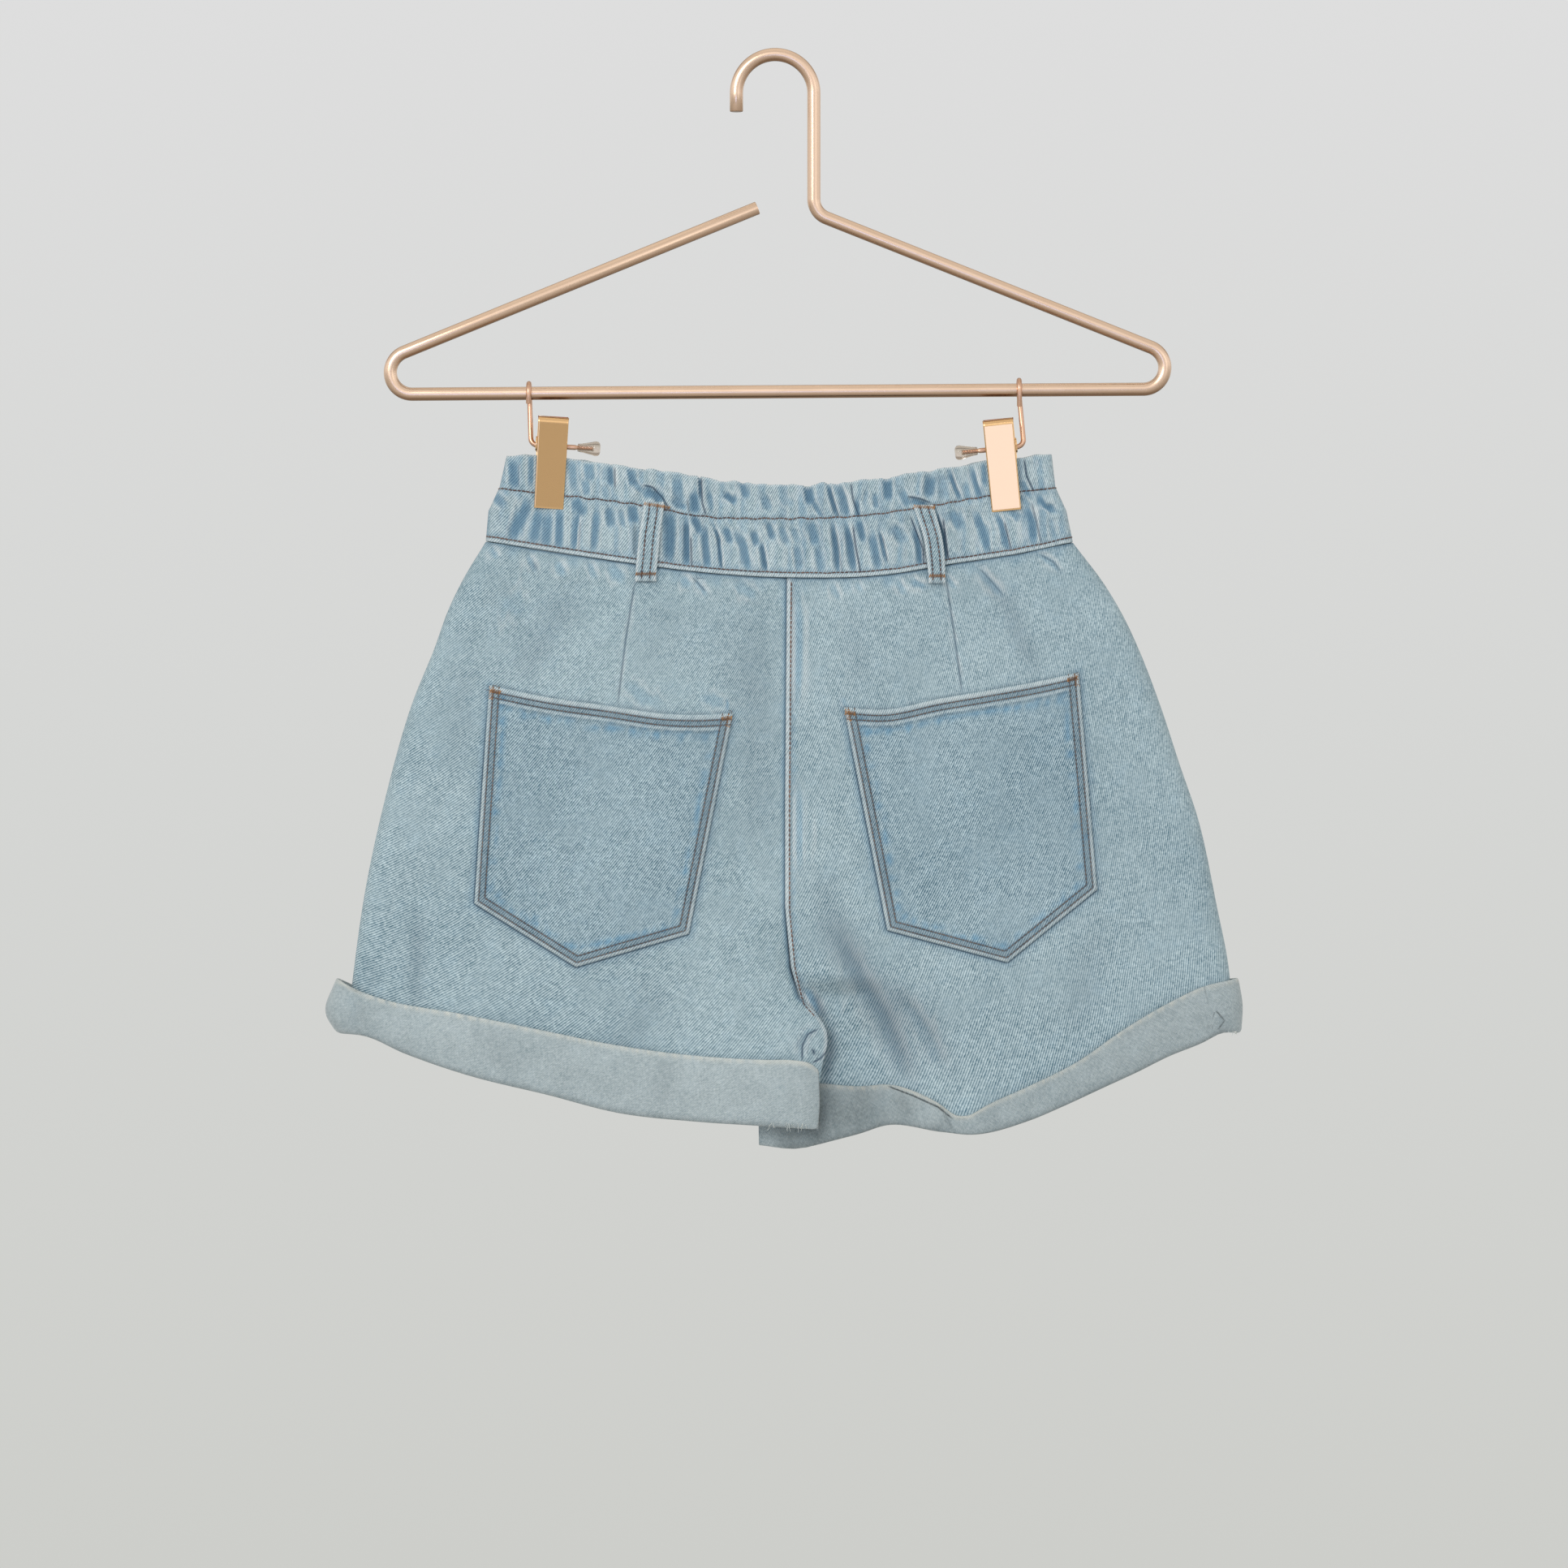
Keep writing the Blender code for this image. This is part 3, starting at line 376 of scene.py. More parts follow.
def clothWall(name, outer, inner, materials, twill, way, flatCoords, marks):
    # a closed sheet between two grids of points; way is 1 where the grid's normal already points out
    rows, columns = outer.shape[:2]
    faces = wallFaces(rows, columns)
    if way < 0:
        faces = faces[:, ::-1]
    quads = (rows - 1) * (columns - 1)
    slots = np.zeros(len(faces))
    slots[quads:2 * quads] = len(materials) - 1
    # the twill's angle at the middle, how much it fans per 100 mm, and the middle
    angle, fan, middleA, middleB = twill
    a, b = flatCoords[0] - middleA, flatCoords[1] - middleB
    turned = np.radians(angle + fan * a / 100)
    uv = np.stack([a * np.cos(turned) + b * np.sin(turned), b * np.cos(turned) - a * np.sin(turned)], -1)
    points = np.concatenate([outer.reshape(-1, 3), inner.reshape(-1, 3)])
    uv = np.tile(uv.reshape(-1, 2), (2, 1))
    marks = {key: np.tile(values.ravel(), 2) for key, values in marks.items()}
    return plainMesh(name, points, faces, materials, slots, uv, marks)


def rolledOut(grid, bothSides=True):
    # across and height as they lie when the rounded sides are opened flat
    steps = np.linalg.norm(np.diff(grid, axis=1), axis=2)
    middle = grid.shape[1] // 2
    if not bothSides:
        steps[:, middle:] = np.abs(np.diff(grid[:, middle:, 0], axis=1))
        steps = steps * np.sign(grid[0, -1, 0] - grid[0, 0, 0])
    run = np.concatenate([np.zeros((len(grid), 1)), np.cumsum(steps, axis=1)], axis=1)
    return run - run[:, middle:middle + 1] + grid[:, middle:middle + 1, 0], grid[:, :, 2]


def declare(piece, nodes):
    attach(piece, "root")
    if nodes:
        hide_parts(*nodes)


# materials


def put(tree, kind, inputs=(), **settings):
    node = tree.nodes.new(kind)
    for key, value in settings.items():
        setattr(node, key, value)
    for socket, value in dict(inputs).items():
        if isinstance(value, bpy.types.NodeSocket):
            tree.links.new(value, node.inputs[socket])
        else:
            node.inputs[socket].default_value = value
    return node


def calc(tree, operation, *values, clamp=False):
    return put(tree, "ShaderNodeMath", dict(enumerate(values)), operation=operation,
               use_clamp=clamp).outputs[0]


def spread(tree, value, low, high, toLow=0.0, toHigh=1.0):
    return put(tree, "ShaderNodeMapRange", {0: value, 1: low, 2: high, 3: toLow, 4: toHigh}).outputs[0]


def noise(tree, vector, scale, detail=2.0, rough=0.5):
    return put(tree, "ShaderNodeTexNoise",
               {"Vector": vector, "Scale": scale, "Detail": detail, "Roughness": rough}).outputs[0]


def mixColour(tree, share, first, second):
    return put(tree, "ShaderNodeMix", {0: share, 6: first, 7: second}, data_type="RGBA").outputs[2]


def marked(tree, key):
    return put(tree, "ShaderNodeAttribute", attribute_name=key).outputs["Fac"]


def fromByte(red, green, blue):
    made = [c / 255 for c in (red, green, blue)]
    return (*[c / 12.92 if c <= 0.04045 else ((c + 0.055) / 1.055) ** 2.4 for c in made], 1)


def newMaterial(name):
    made = bpy.data.materials.new(name)
    made.use_nodes = True
    return made, made.node_tree, made.node_tree.nodes["Principled BSDF"]


# "dark" is the colour of painted shade; the blue pair is unfaded cloth and painted shade in valleys and seams
denimLooks = {
    "denim": {
        "pale": (205, 223, 227), "yarn": (56, 98, 116), "bluePale": (157, 195, 213),
        "blueYarn": (58, 106, 141),
        "dark": (48, 70, 92), "worn": (225, 232, 232),
        "contrast": 0.86, "level": 0.52, "pitch": 1.12, "slub": 0.1, "cloud": 0.045, "fuzz": 0.1, "bump": 0.5,
    },
    "pocketDenim": {
        "pale": (200, 220, 226), "yarn": (47, 90, 110), "bluePale": (146, 184, 203),
        "blueYarn": (62, 106, 138),
        "dark": (44, 64, 84), "worn": (208, 217, 217),
        "contrast": 0.92, "level": 0.48, "pitch": 1.12, "slub": 0.1, "cloud": 0.035, "fuzz": 0.1, "bump": 0.5,
    },
    "denimWrongSide": {
        "pale": (198, 209, 210), "yarn": (125, 143, 149), "bluePale": (158, 180, 190),
        "blueYarn": (110, 136, 150),
        "dark": (62, 71, 73), "worn": (214, 214, 203),
        "contrast": 0.2, "level": 0.56, "pitch": 0.95, "slub": 0.6, "cloud": 0.12, "fuzz": 0.3, "bump": 0.55,
    },
}


def denimMaterial(name):
    look = denimLooks[name]
    made, tree, shader = newMaterial(name)
    weave = put(tree, "ShaderNodeUVMap", uv_map="weave").outputs[0]
    place = put(tree, "ShaderNodeTexCoord").outputs["Object"]
    split = put(tree, "ShaderNodeSeparateXYZ", {0: weave})
    wobble = noise(tree, weave, 130, 2)
    lines = calc(tree, "MULTIPLY", split.outputs[1], 1000 / look["pitch"])
    lines = calc(tree, "MULTIPLY_ADD", wobble, 0.6, lines)
    row = calc(tree, "FLOOR", lines)
    wave = calc(tree, "SINE", calc(tree, "MULTIPLY", lines, 2 * math.pi))
    # each line of the twill breaks into dashes of its own
    alongRow = put(tree, "ShaderNodeCombineXYZ",
                   {0: split.outputs[0], 1: calc(tree, "MULTIPLY", row, 0.37)}).outputs[0]
    dash = spread(tree, noise(tree, alongRow, 620, 1.5, 0.6), 0.34, 0.66)
    slow = spread(tree, noise(tree, alongRow, 90, 2), 0.35, 0.65)
    # the warp runs near upright, a little off the twill's lines, and the weft square to it
    warp = put(tree, "ShaderNodeVectorRotate", {"Vector": weave, "Angle": math.radians(30.5)},
               rotation_type="Z_AXIS").outputs[0]
    yarns = put(tree, "ShaderNodeMapping", {"Vector": warp, "Scale": (330.0, 1200.0, 1.0)}).outputs[0]
    slub = spread(tree, noise(tree, yarns, 1.0, 2, 0.6), 0.32, 0.68)
    picks = put(tree, "ShaderNodeMapping", {"Vector": warp, "Scale": (1000.0, 380.0, 1.0)}).outputs[0]
    picks = spread(tree, noise(tree, picks, 1.0, 2, 0.6), 0.32, 0.68)
    slub = calc(tree, "MULTIPLY_ADD", picks, 0.45, calc(tree, "MULTIPLY", slub, 0.55))
    cloud = spread(tree, noise(tree, place, 95, 4, 0.6), 0.3, 0.7, -1, 1)
    patch = spread(tree, noise(tree, place, 16, 3, 0.5), 0.3, 0.7, -1, 1)
    faded = spread(tree, noise(tree, place, 40, 3, 0.55), 0.47, 0.66)
    # thin dark lines between broad pale ones
    crisp = spread(tree, wave, -0.85, 0.4)
    light = calc(tree, "MULTIPLY", crisp, calc(tree, "MULTIPLY_ADD", dash, 0.44, 0.6))
    gap = calc(tree, "MULTIPLY", calc(tree, "SUBTRACT", 1.0, crisp), calc(tree, "MULTIPLY", dash, 0.36))
    light = calc(tree, "ADD", light, gap)
    contrast = calc(tree, "MULTIPLY", calc(tree, "MULTIPLY_ADD", faded, -0.42, 1.0), look["contrast"])
    light = calc(tree, "MULTIPLY_ADD", calc(tree, "SUBTRACT", light, 0.54), contrast, look["level"])
    light = calc(tree, "MULTIPLY_ADD", calc(tree, "SUBTRACT", slub, 0.5), look["slub"], light)
    light = calc(tree, "MULTIPLY_ADD", calc(tree, "SUBTRACT", slow, 0.5), 0.08, light)
    light = calc(tree, "MULTIPLY_ADD", cloud, look["cloud"], light)
    light = calc(tree, "MULTIPLY_ADD", patch, 0.05, light, clamp=True)
    pale = mixColour(tree, light, fromByte(*look["yarn"]), fromByte(*look["pale"]))
    # the blue mix is unfaded cloth and painted shade
    blueUnwornAndShaded = mixColour(tree, light, fromByte(*look["blueYarn"]), fromByte(*look["bluePale"]))
    blue, wear, dark = (marked(tree, key) for key in ("blue", "wear", "dark"))
    # the dark and fold marks paint shade in folds, hollows, seams and stitching
    fold = calc(tree, "ABSOLUTE", marked(tree, "fold"))
    fold = calc(tree, "MULTIPLY", spread(tree, fold, 0.9, 0.15), marked(tree, "foldShare"))
    dark = calc(tree, "MAXIMUM", dark, fold)
    ragged = calc(tree, "MULTIPLY_ADD", calc(tree, "SUBTRACT", dash, 0.5), 0.35, 1.0)
    blue = calc(tree, "MULTIPLY_ADD", cloud, 0.12, calc(tree, "MULTIPLY", blue, ragged), clamp=True)
    colour = mixColour(tree, blue, pale, blueUnwornAndShaded)
    worn = calc(tree, "MULTIPLY", wear, calc(tree, "MULTIPLY_ADD", crisp, 0.6, 0.35), clamp=True)
    colour = mixColour(tree, worn, colour, fromByte(*look["worn"]))
    colour = mixColour(tree, calc(tree, "MULTIPLY", dark, ragged, clamp=True), colour,
                       fromByte(*look["dark"]))
    tree.links.new(colour, shader.inputs["Base Color"])
    height = calc(tree, "MULTIPLY_ADD", wave, 0.5, calc(tree, "MULTIPLY", slub, 0.6))
    height = calc(tree, "MULTIPLY_ADD", cloud, 0.5, height)
    bump = put(tree, "ShaderNodeBump", {"Height": height, "Strength": look["bump"], "Distance": 0.00012})
    tree.links.new(bump.outputs[0], shader.inputs["Normal"])
    tree.links.new(spread(tree, light, 0, 1, 0.8, 0.92), shader.inputs["Roughness"])
    shader.inputs["Specular IOR Level"].default_value = 0.25
    shader.inputs["Sheen Weight"].default_value = look["fuzz"]
    shader.inputs["Sheen Roughness"].default_value = 0.5
    return made


metalLooks = {
    # the satin's "under" colour is painted shade on the wire's underside
    "satinRoseGold": {"tone": (241, 213, 189), "shade": (235, 201, 172), "rough": (0.24, 0.3), "grain": 900,
                      "under": (152, 120, 94)},
    "plateRoseGold": {"tone": (240, 197, 144), "shade": (239, 195, 141), "rough": (0.13, 0.14), "grain": 60},
    "wireRoseGold": {"tone": (234, 194, 166), "shade": (208, 164, 136), "rough": (0.26, 0.34), "grain": 700},
}


def metalMaterial(name):
    look = metalLooks[name]
    made, tree, shader = newMaterial(name)
    place = put(tree, "ShaderNodeTexCoord").outputs["Object"]
    grain = noise(tree, place, look["grain"], 3, 0.7)
    patch = noise(tree, place, 45, 3, 0.6)
    share = calc(tree, "MULTIPLY_ADD", grain, 0.5, calc(tree, "MULTIPLY", patch, 0.5), clamp=True)
    colour = mixColour(tree, share, fromByte(*look["shade"]), fromByte(*look["tone"]))
    if "under" in look:  # painted shade: the colour darkens where the wire faces down
        facing = put(tree, "ShaderNodeSeparateXYZ",
                     {0: put(tree, "ShaderNodeNewGeometry").outputs["Normal"]}).outputs[2]
        colour = mixColour(tree, spread(tree, facing, -0.15, -0.75), colour, fromByte(*look["under"]))
    tree.links.new(colour, shader.inputs["Base Color"])
    tree.links.new(spread(tree, patch, 0.35, 0.65, *look["rough"]), shader.inputs["Roughness"])
    shader.inputs["Metallic"].default_value = 1.0
    return made


def threadMaterial(name, light, dark):
    made, tree, shader = newMaterial(name)
    place = put(tree, "ShaderNodeTexCoord").outputs["Object"]
    ply = noise(tree, place, 2600, 2, 0.6)
    faded = noise(tree, place, 70, 2)
    share = calc(tree, "MULTIPLY_ADD", spread(tree, faded, 0.35, 0.65), 0.7, calc(tree, "MULTIPLY", ply, 0.3),
                 clamp=True)
    tree.links.new(mixColour(tree, share, fromByte(*dark), fromByte(*light)), shader.inputs["Base Color"])
    bump = put(tree, "ShaderNodeBump", {"Height": ply, "Strength": 0.5, "Distance": 0.0001})
    tree.links.new(bump.outputs[0], shader.inputs["Normal"])
    shader.inputs["Roughness"].default_value = 0.7
    shader.inputs["Sheen Weight"].default_value = 0.2
    return made


def rubberMaterial(name):
    made, tree, shader = newMaterial(name)
    place = put(tree, "ShaderNodeTexCoord").outputs["Object"]
    haze = noise(tree, place, 260, 3)
    tree.links.new(mixColour(tree, haze, fromByte(240, 230, 218), fromByte(222, 206, 190)),
                   shader.inputs["Base Color"])
    tree.links.new(spread(tree, haze, 0.3, 0.7, 0.05, 0.1), shader.inputs["Roughness"])
    shader.inputs["Transmission Weight"].default_value = 0.95
    shader.inputs["IOR"].default_value = 1.36
    return made


denim, pocketDenim, wrongSide = (denimMaterial(name) for name in denimLooks)
satinGold, plateGold, wireGold = (metalMaterial(name) for name in metalLooks)
brownThread = threadMaterial("brownThread", (122, 98, 88), (66, 56, 58))
greyThread = threadMaterial("greyThread", (118, 104, 94), (70, 68, 70))
russetThread = threadMaterial("russetThread", (138, 102, 84), (82, 66, 64))
rustThread = threadMaterial("rustThread", (204, 144, 78), (146, 98, 50))
paleThread = threadMaterial("paleThread", (226, 226, 216), (186, 198, 200))
clearRubber = rubberMaterial("clearRubber")
print("materials made")

# patch pockets

pockets = {
    "left": {
        "mouth": [(-154.5, -338.5), (-122.5, -345), (-90.5, -349.5), (-58.5, -354), (-42, -354.5),
                  (-22.5, -353.5)],
        "point": [(-162.5, -456.5), (-107.5, -491), (-46.5, -473)],
        "twill": (52, 5, -95, -400),
        "puckers": [(-143.5, -351), (-136.8, -351), (-130, -354), (-111, -355), (-88.5, -358.5), (-70, -361),
                    (-58, -363), (-47, -363.5), (-149.7, -451.6), (-130, -464), (-113, -478.6), (-86, -478),
                    (-60, -470),
                    (-158, -420), (-47, -430)],
    },
    "right": {
        "mouth": [(37, -350.5), (60.5, -351.5), (87.5, -346), (119.5, -340.5), (141.5, -336.5),
                  (164, -331.5)],
        "point": [(60.5, -471), (125.5, -488.5), (174, -449)],
        "twill": (65.5, 5, 108, -400),
        "puckers": [(48, -361), (58, -361), (72, -358), (92, -355), (117, -351), (142, -346), (156, -343),
                    (70, -463),
                    (92, -474), (112, -478), (125, -480), (140, -470), (160, -453), (53, -420), (168, -420)],
    },
    "stitchRows": (2.4, 5.6),  # from the sewn edges
    "mouthRows": (3.4, 6.4),
    "fineStep": 0.55,
    "step": 1.7,
}


def pocketEdges(pocket):
    # its sewn edges, from one end of the mouth down and round to the other
    return [pocket["mouth"][0], *pocket["point"], pocket["mouth"][-1]]


# leg panels

panel = {
    "crotchShare": 0.74,
    "sideShare": 0.075,
    "inseamShare": 0.15,
    "cuffReach": 4.0,
    "crotchHeight": -508.0,
    "step": {back: 2.0, front: 4.0},
    "darts": [[(-75.7, -282), (-80.7, -313.6), (-85, -349)], [(92.4, -280), (97, -312), (101, -343)]],
    # creases: half width, depth, sharp side, blue (unfaded cloth and painted shade), points
    "backCreases": [
        (3.2, 0.9, 1, 0.4, 109.6, -274.5, 116, -281, 124, -290),
        (2.4, 0.8, 1, 0.35, 142, -267, 150, -271, 154.5, -277),
        (6.5, 1.6, 1, 0.1, 34, -472, 47, -497, 60, -518, 73, -552),
        (5.0, 1.2, 1, 0.1, 68, -505, 82, -524, 91, -545),
        (2.4, 0.8, 1, 0.2, 24, -524, 17.6, -527.4, 14.5, -533.5, 14.5, -541),
        (1.6, 0.7, 1, 0.1, 28.4, -536.4, 24.2, -540.6, 20.9, -542.6),
        (2.6, 0.7, 1, 0.5, -134, -267, -129, -277), (3.4, 0.6, 1, 0.5, -118, -271, -113, -279),
        (2.6, 0.6, 1, 0.35, -101, -271, -96, -281), (3.2, 0.6, 0, 0.45, -90, -273, -82, -283),
        (3.4, 0.5, 1, 0.5, -50, -279.5, -45, -285), (2.2, 0.7, 1, 0.45, -43, -281, -36, -290),
        (3.0, 0.5, 0, 0.4, -22, -283, -10, -291), (2.6, 0.5, 1, 0.4, 31, -283, 35, -292),
        (2.2, 0.4, 1, 0.35, 45, -282, 47, -288), (2.8, 0.5, 1, 0.4, 66, -281, 71, -289),
        (1.4, 0.5, 1, 0.8, -25.2, -346, -26.4, -353), (1.2, 0.4, -1, 0.5, 36, -345, 37, -350),
        (3.0, 0.5, 1, 0.6, 73, -281, 82, -285), (2.4, 0.5, 1, 0.4, 93, -279, 98, -286),
        (2.8, 0.4, -1, 0.75, 15.5, -503, 19.5, -509, 23.2, -517),
        (3.2, 0.2, -1, 0.5, 11, -284, 12, -300, 11.4, -352), (3.0, 0.2, -1, 0.42, 12, -392, 12.5, -440),
        (2.6, 0.4, 1, 0.45, -153.5, -263, -150, -270), (6.0, 0.2, 0, 0.2, -148, -292, -135, -298),
        (3.0, 0.2, 0, 0.35, -40, -345, -26, -349), (3.4, 0.2, 0, 0.3, -82, -335, -72, -345, -60, -350),
    ],
    # painted shade: half width, amount, points
    "backShades": [
        (8.0, 0.42, 33, -470, 47, -497, 60, -518, 74, -553), (6.5, 0.26, 62, -500, 81, -521, 92, -546),
        (9.0, 0.14, 24, -440, 34, -480), (9.0, 0.17, -109, -288, -121, -307, -139, -334),
        (12.0, 0.12, -22, -322, -14, -352), (6.0, 0.2, 111, -275, 126, -296, 140, -330),
        (5.0, 0.2, -193, -466, -194.5, -513), (5.0, 0.13, -219, -488, -217, -504),
        (11.0, 0.1, -60, -296, -66, -330), (10.0, 0.1, 175, -470, 160, -530), (8.0, 0.1, 40, -300, 46, -340),
        (7.0, 0.1, -165, -330, -172, -380), (12.0, 0.1, -60, -500, -92, -545),
        (2.6, 0.5, 21.5, -506, 24.5, -514, 27, -519), (3.0, 0.4, 30, -524, 30.5, -536, 27, -552),
        (1.6, 0.4, -131, -272, -129.5, -276), (11.0, 0.14, -10, -296, -9, -350, -9, -425),
        (15.0, 0.07, 58, -505, 96, -528), (2.4, 0.3, 20, -526.6, 15, -530.4, 13.4, -536),
        (1.1, 0.8, 20.4, -535.8, 21.3, -538),
    ],
    # painted shadow lines along thin folds: amount, points
    "backFolds": [
        (0.5, 111, -275.5, 117, -282, 124, -290.5), (0.45, 143, -267.5, 151, -272, 154.6, -277.5),
        (0.85, 23, -524.6, 17.6, -527.4, 14.7, -533.5, 14.6, -541.4),
        (0.8, 28.2, -536.4, 24.4, -540.6, 20.4, -542.6),
        (1.0, 20.4, -535.6, 21.4, -538),
        (0.5, -45, -280, -37.5, -288), (0.6, -231.5, -488, -230, -503), (0.3, -132, -272, -129.5, -277),
    ],
}


def legColumns(step):
    width = 250.0
    side = panel["sideShare"] * (1 - np.cos(np.linspace(0, math.pi / 2, 13 if step < 3 else 6)))
    inner = 1 - panel["inseamShare"] * (1 - np.cos(np.linspace(math.pi / 2, 0, 28 if step < 3 else 8)))
    flat = np.linspace(side[-1], inner[0], round((inner[0] - side[-1]) * width / step) + 1)
    return np.concatenate([side, flat[1:-1], inner])


def panelPlace(leg, u, v, inset):
    sideX, sideZ = along(leg["side"], v)
    sideX = sideX + leg["inward"] * inset
    height = blend(seatSeam[0][1], panel["crotchHeight"], v / panel["crotchShare"])
    upper = centreAt(leg, height) - leg["inward"] * cloth["seamGap"] / 2
    lowX, lowZ = byRow(leg["inseam"], (v - panel["crotchShare"]) / (1 - panel["crotchShare"]))
    below = v > panel["crotchShare"]
    centreX = np.where(below, lowX - leg["inward"] * inset, upper)
    centreZ = np.where(below, lowZ, height)
    across = blend(sideX, centreX, u)
    ends = (along(leg["side"], 0.0)[0], seatSeam[0][0])
    waist = heightAt(waistSeam, blend(*ends, u)) - blend(*(heightAt(waistSeam, end) for end in ends), u)
    hem = heightAt(leg["cuffLow"], blend(leg["side"][-1][0], leg["inseam"][-1][0], u))
    hem = hem + panel["cuffReach"] - blend(leg["side"][-1][1], leg["inseam"][-1][1], u)
    return across, blend(sideZ, centreZ, u) + (1 - v) * waist + v * hem, np.abs(centreX - sideX)


def panelRelief(leg, face, across, height):
    strokes = [(dart, 1.2, 0.9, 1, 0.12) for dart in panel["darts"]] if face == back else []
    strokes += strokesOf(panel["backCreases"]) if face == back else [
        ([(4 - x, z) for x, z in path], *looks) for path, *looks in strokesOf(panel["backCreases"][2:13])
    ]
    depth, blue, wear = crease(across, height, strokes)
    dark = np.zeros_like(depth)
    if face == back:
        dark = shade(across, height, panel["backShades"])
        # each pocket's edge throws a thin shadow, deeper at its left and its foot
        for pocket in (pockets["left"], pockets["right"]):
            edges = pocketEdges(pocket)
            for k, (start, end) in enumerate(zip(edges, edges[1:])):
                away = fromLine(across, height, start, end)[0]
                dark = np.maximum(dark, 0.3 * bell(away, 0, 1.6))
                blue = np.maximum(blue, (0.45, 0.3, 0.25, 0.25)[k] * bell(away, 0, 2.6))
            fromMouth = height - heightAt(pocket["mouth"], across)
            left, right = edges[0][0], edges[-1][0]
            spanned = rise(across, left - 1, left + 1) * (1 - rise(across, right - 1, right + 1))
            dark = np.maximum(dark, 0.3 * spanned * bell(fromMouth, 0, 0.9))
    # thin painted shadow lines along the waist seam, and on the back along folds, darts and pocket edges
    seams = [(0.6, *flatPoints([(x, heightAt(waistSeam, x) - 0.4) for x in range(-156, 162, 6)]))]
    if face == back:
        seams += panel["backFolds"] + [(0.55, *flatPoints(dart)) for dart in panel["darts"]]
        for pocket in (pockets["left"], pockets["right"]):
            seams.append((0.75, *flatPoints(np.array(pocketEdges(pocket)) + (-0.2, -0.3))))
    fold, foldShare = foldLines(across, height, seams)
    depth += ripple(across, height, 3 if face == back else 5, 62, 0.22)
    # the right panel's folded edge lies on the left one along the seat seam, with painted shade and blue
    # beside the fold
    off = across - centreAt(leg, height)
    seat = rise(-height, 270, 282) * (1 - rise(-height, 506, 520))
    pucker = 0.5 + 0.5 * np.sin(height * 2 * math.pi / 6.3 + 2 * np.sin(height / 17))
    if leg is legs["right"]:
        depth -= seat * (0.6 * rise(off, -0.2, 0.6) * (1 - rise(off, 2.4, 4.6)))
        depth += seat * 0.3 * pucker * bell(off, 2.2, 1.3)
        wear = np.maximum(wear, seat * (0.55 + 0.3 * pucker) * bell(off, 1.0, 1.3))
        blue = np.maximum(blue, seat * 0.35 * pucker * bell(off, 4.4, 1.6))
        dark = np.maximum(dark, seat * 0.3 * bell(off, 2.9, 0.8))
    else:
        depth += seat * 0.8 * bell(off, 0, 1.5)
        blue = np.maximum(blue, seat * 0.6 * bell(off, -0.6, 1.6))
        dark = np.maximum(dark, seat * 0.6 * bell(off, -0.1, 1.0))
    # the cloth is drawn in a little under the waistband, with a painted shadow line and blue shade just below
    # the seam
    below = heightAt(waistSeam, across) - height
    drawn = bell(below, 0, 7)
    waves = ripple(across, height * 0.3, 11 + face, 15, 0.5)
    depth += 0.55 * drawn * waves
    blue = np.maximum(blue, bell(below, 0, 1.8) * 0.5)
    blue = np.maximum(blue, np.clip(0.2 + waves, 0, 1) * 0.45 * bell(below, 3, 4))
    dark = np.maximum(dark, 0.3 * bell(below, 0.6, 1.4))
    if leg is legs["left"]:
        fromInner = centreAt(leg, height) - across
        rubbed = 0.8 * bell(fromInner, 0.8, 1.0) * rise(-height, 512, 520) * (1 - rise(-height, 536, 546))
        wear = np.maximum(wear, rubbed)
    # painted shade along the side seam's edge, pressed flat, low on the leg
    sideX = np.interp(-height, [-p[1] for p in leg["side"]], [p[0] for p in leg["side"]])
    fromSide = leg["inward"] * (across - sideX)
    lip = bell(fromSide, 11, 1.1) * rise(-height, 470, 500)
    dark = np.maximum(dark, 0.22 * lip * (0.6 + 0.4 * np.sin(height * 1.3)))
    return depth, {"blue": blue, "wear": wear, "dark": np.clip(dark, 0, 1), "fold": fold,
                   "foldShare": foldShare}


def makePanels():
    made = {}
    for side, leg in legs.items():
        for face, word in faceWords.items():
            step = panel["step"][face]
            columns = legColumns(step)
            rows = np.concatenate([np.linspace(0, 0.035, 6), np.linspace(0.035, 1, round(300 / step))[1:]])
            u, v = np.meshgrid(columns, rows)
            grids = []
            for inset in (0.0, cloth["layer"]):
                across, height, width = panelPlace(leg, u, v, inset)
                depth = legDepth(leg, face, across, height, u * width, -inset)
                dip, looks = panelRelief(leg, face, across, height)
                calm = rise(u * width, 1,
                            8) * (1 - 0.7 * rise(-height, 500, 520) * (1 - rise((1 - u) * width, 4, 20)))
                grid = np.stack([across, face * (depth - dip * calm), height], -1)
                if inset == 0.0:
                    flat = rolledOut(np.stack([across, face * depth, height], -1), False)
                    marks = looks
                grids.append(grid)
            angle, fan = leg["twill"] if face == back else (180 - leg["twill"][0], -leg["twill"][1])
            name = f"{word}Panel{side.capitalize()}"
            middle = (-leg["inward"] * 100, -390)
            piece = clothWall(name, *grids, (denim, wrongSide), (angle, fan, *middle), -leg["inward"] * face,
                              flat, marks)
            declare(piece, [f"{word}_panel_{side}"])
            made[word, side] = piece
    return made


panels = makePanels()
print("leg panels made")

# waistband: one folded strip, gathered on its elastic

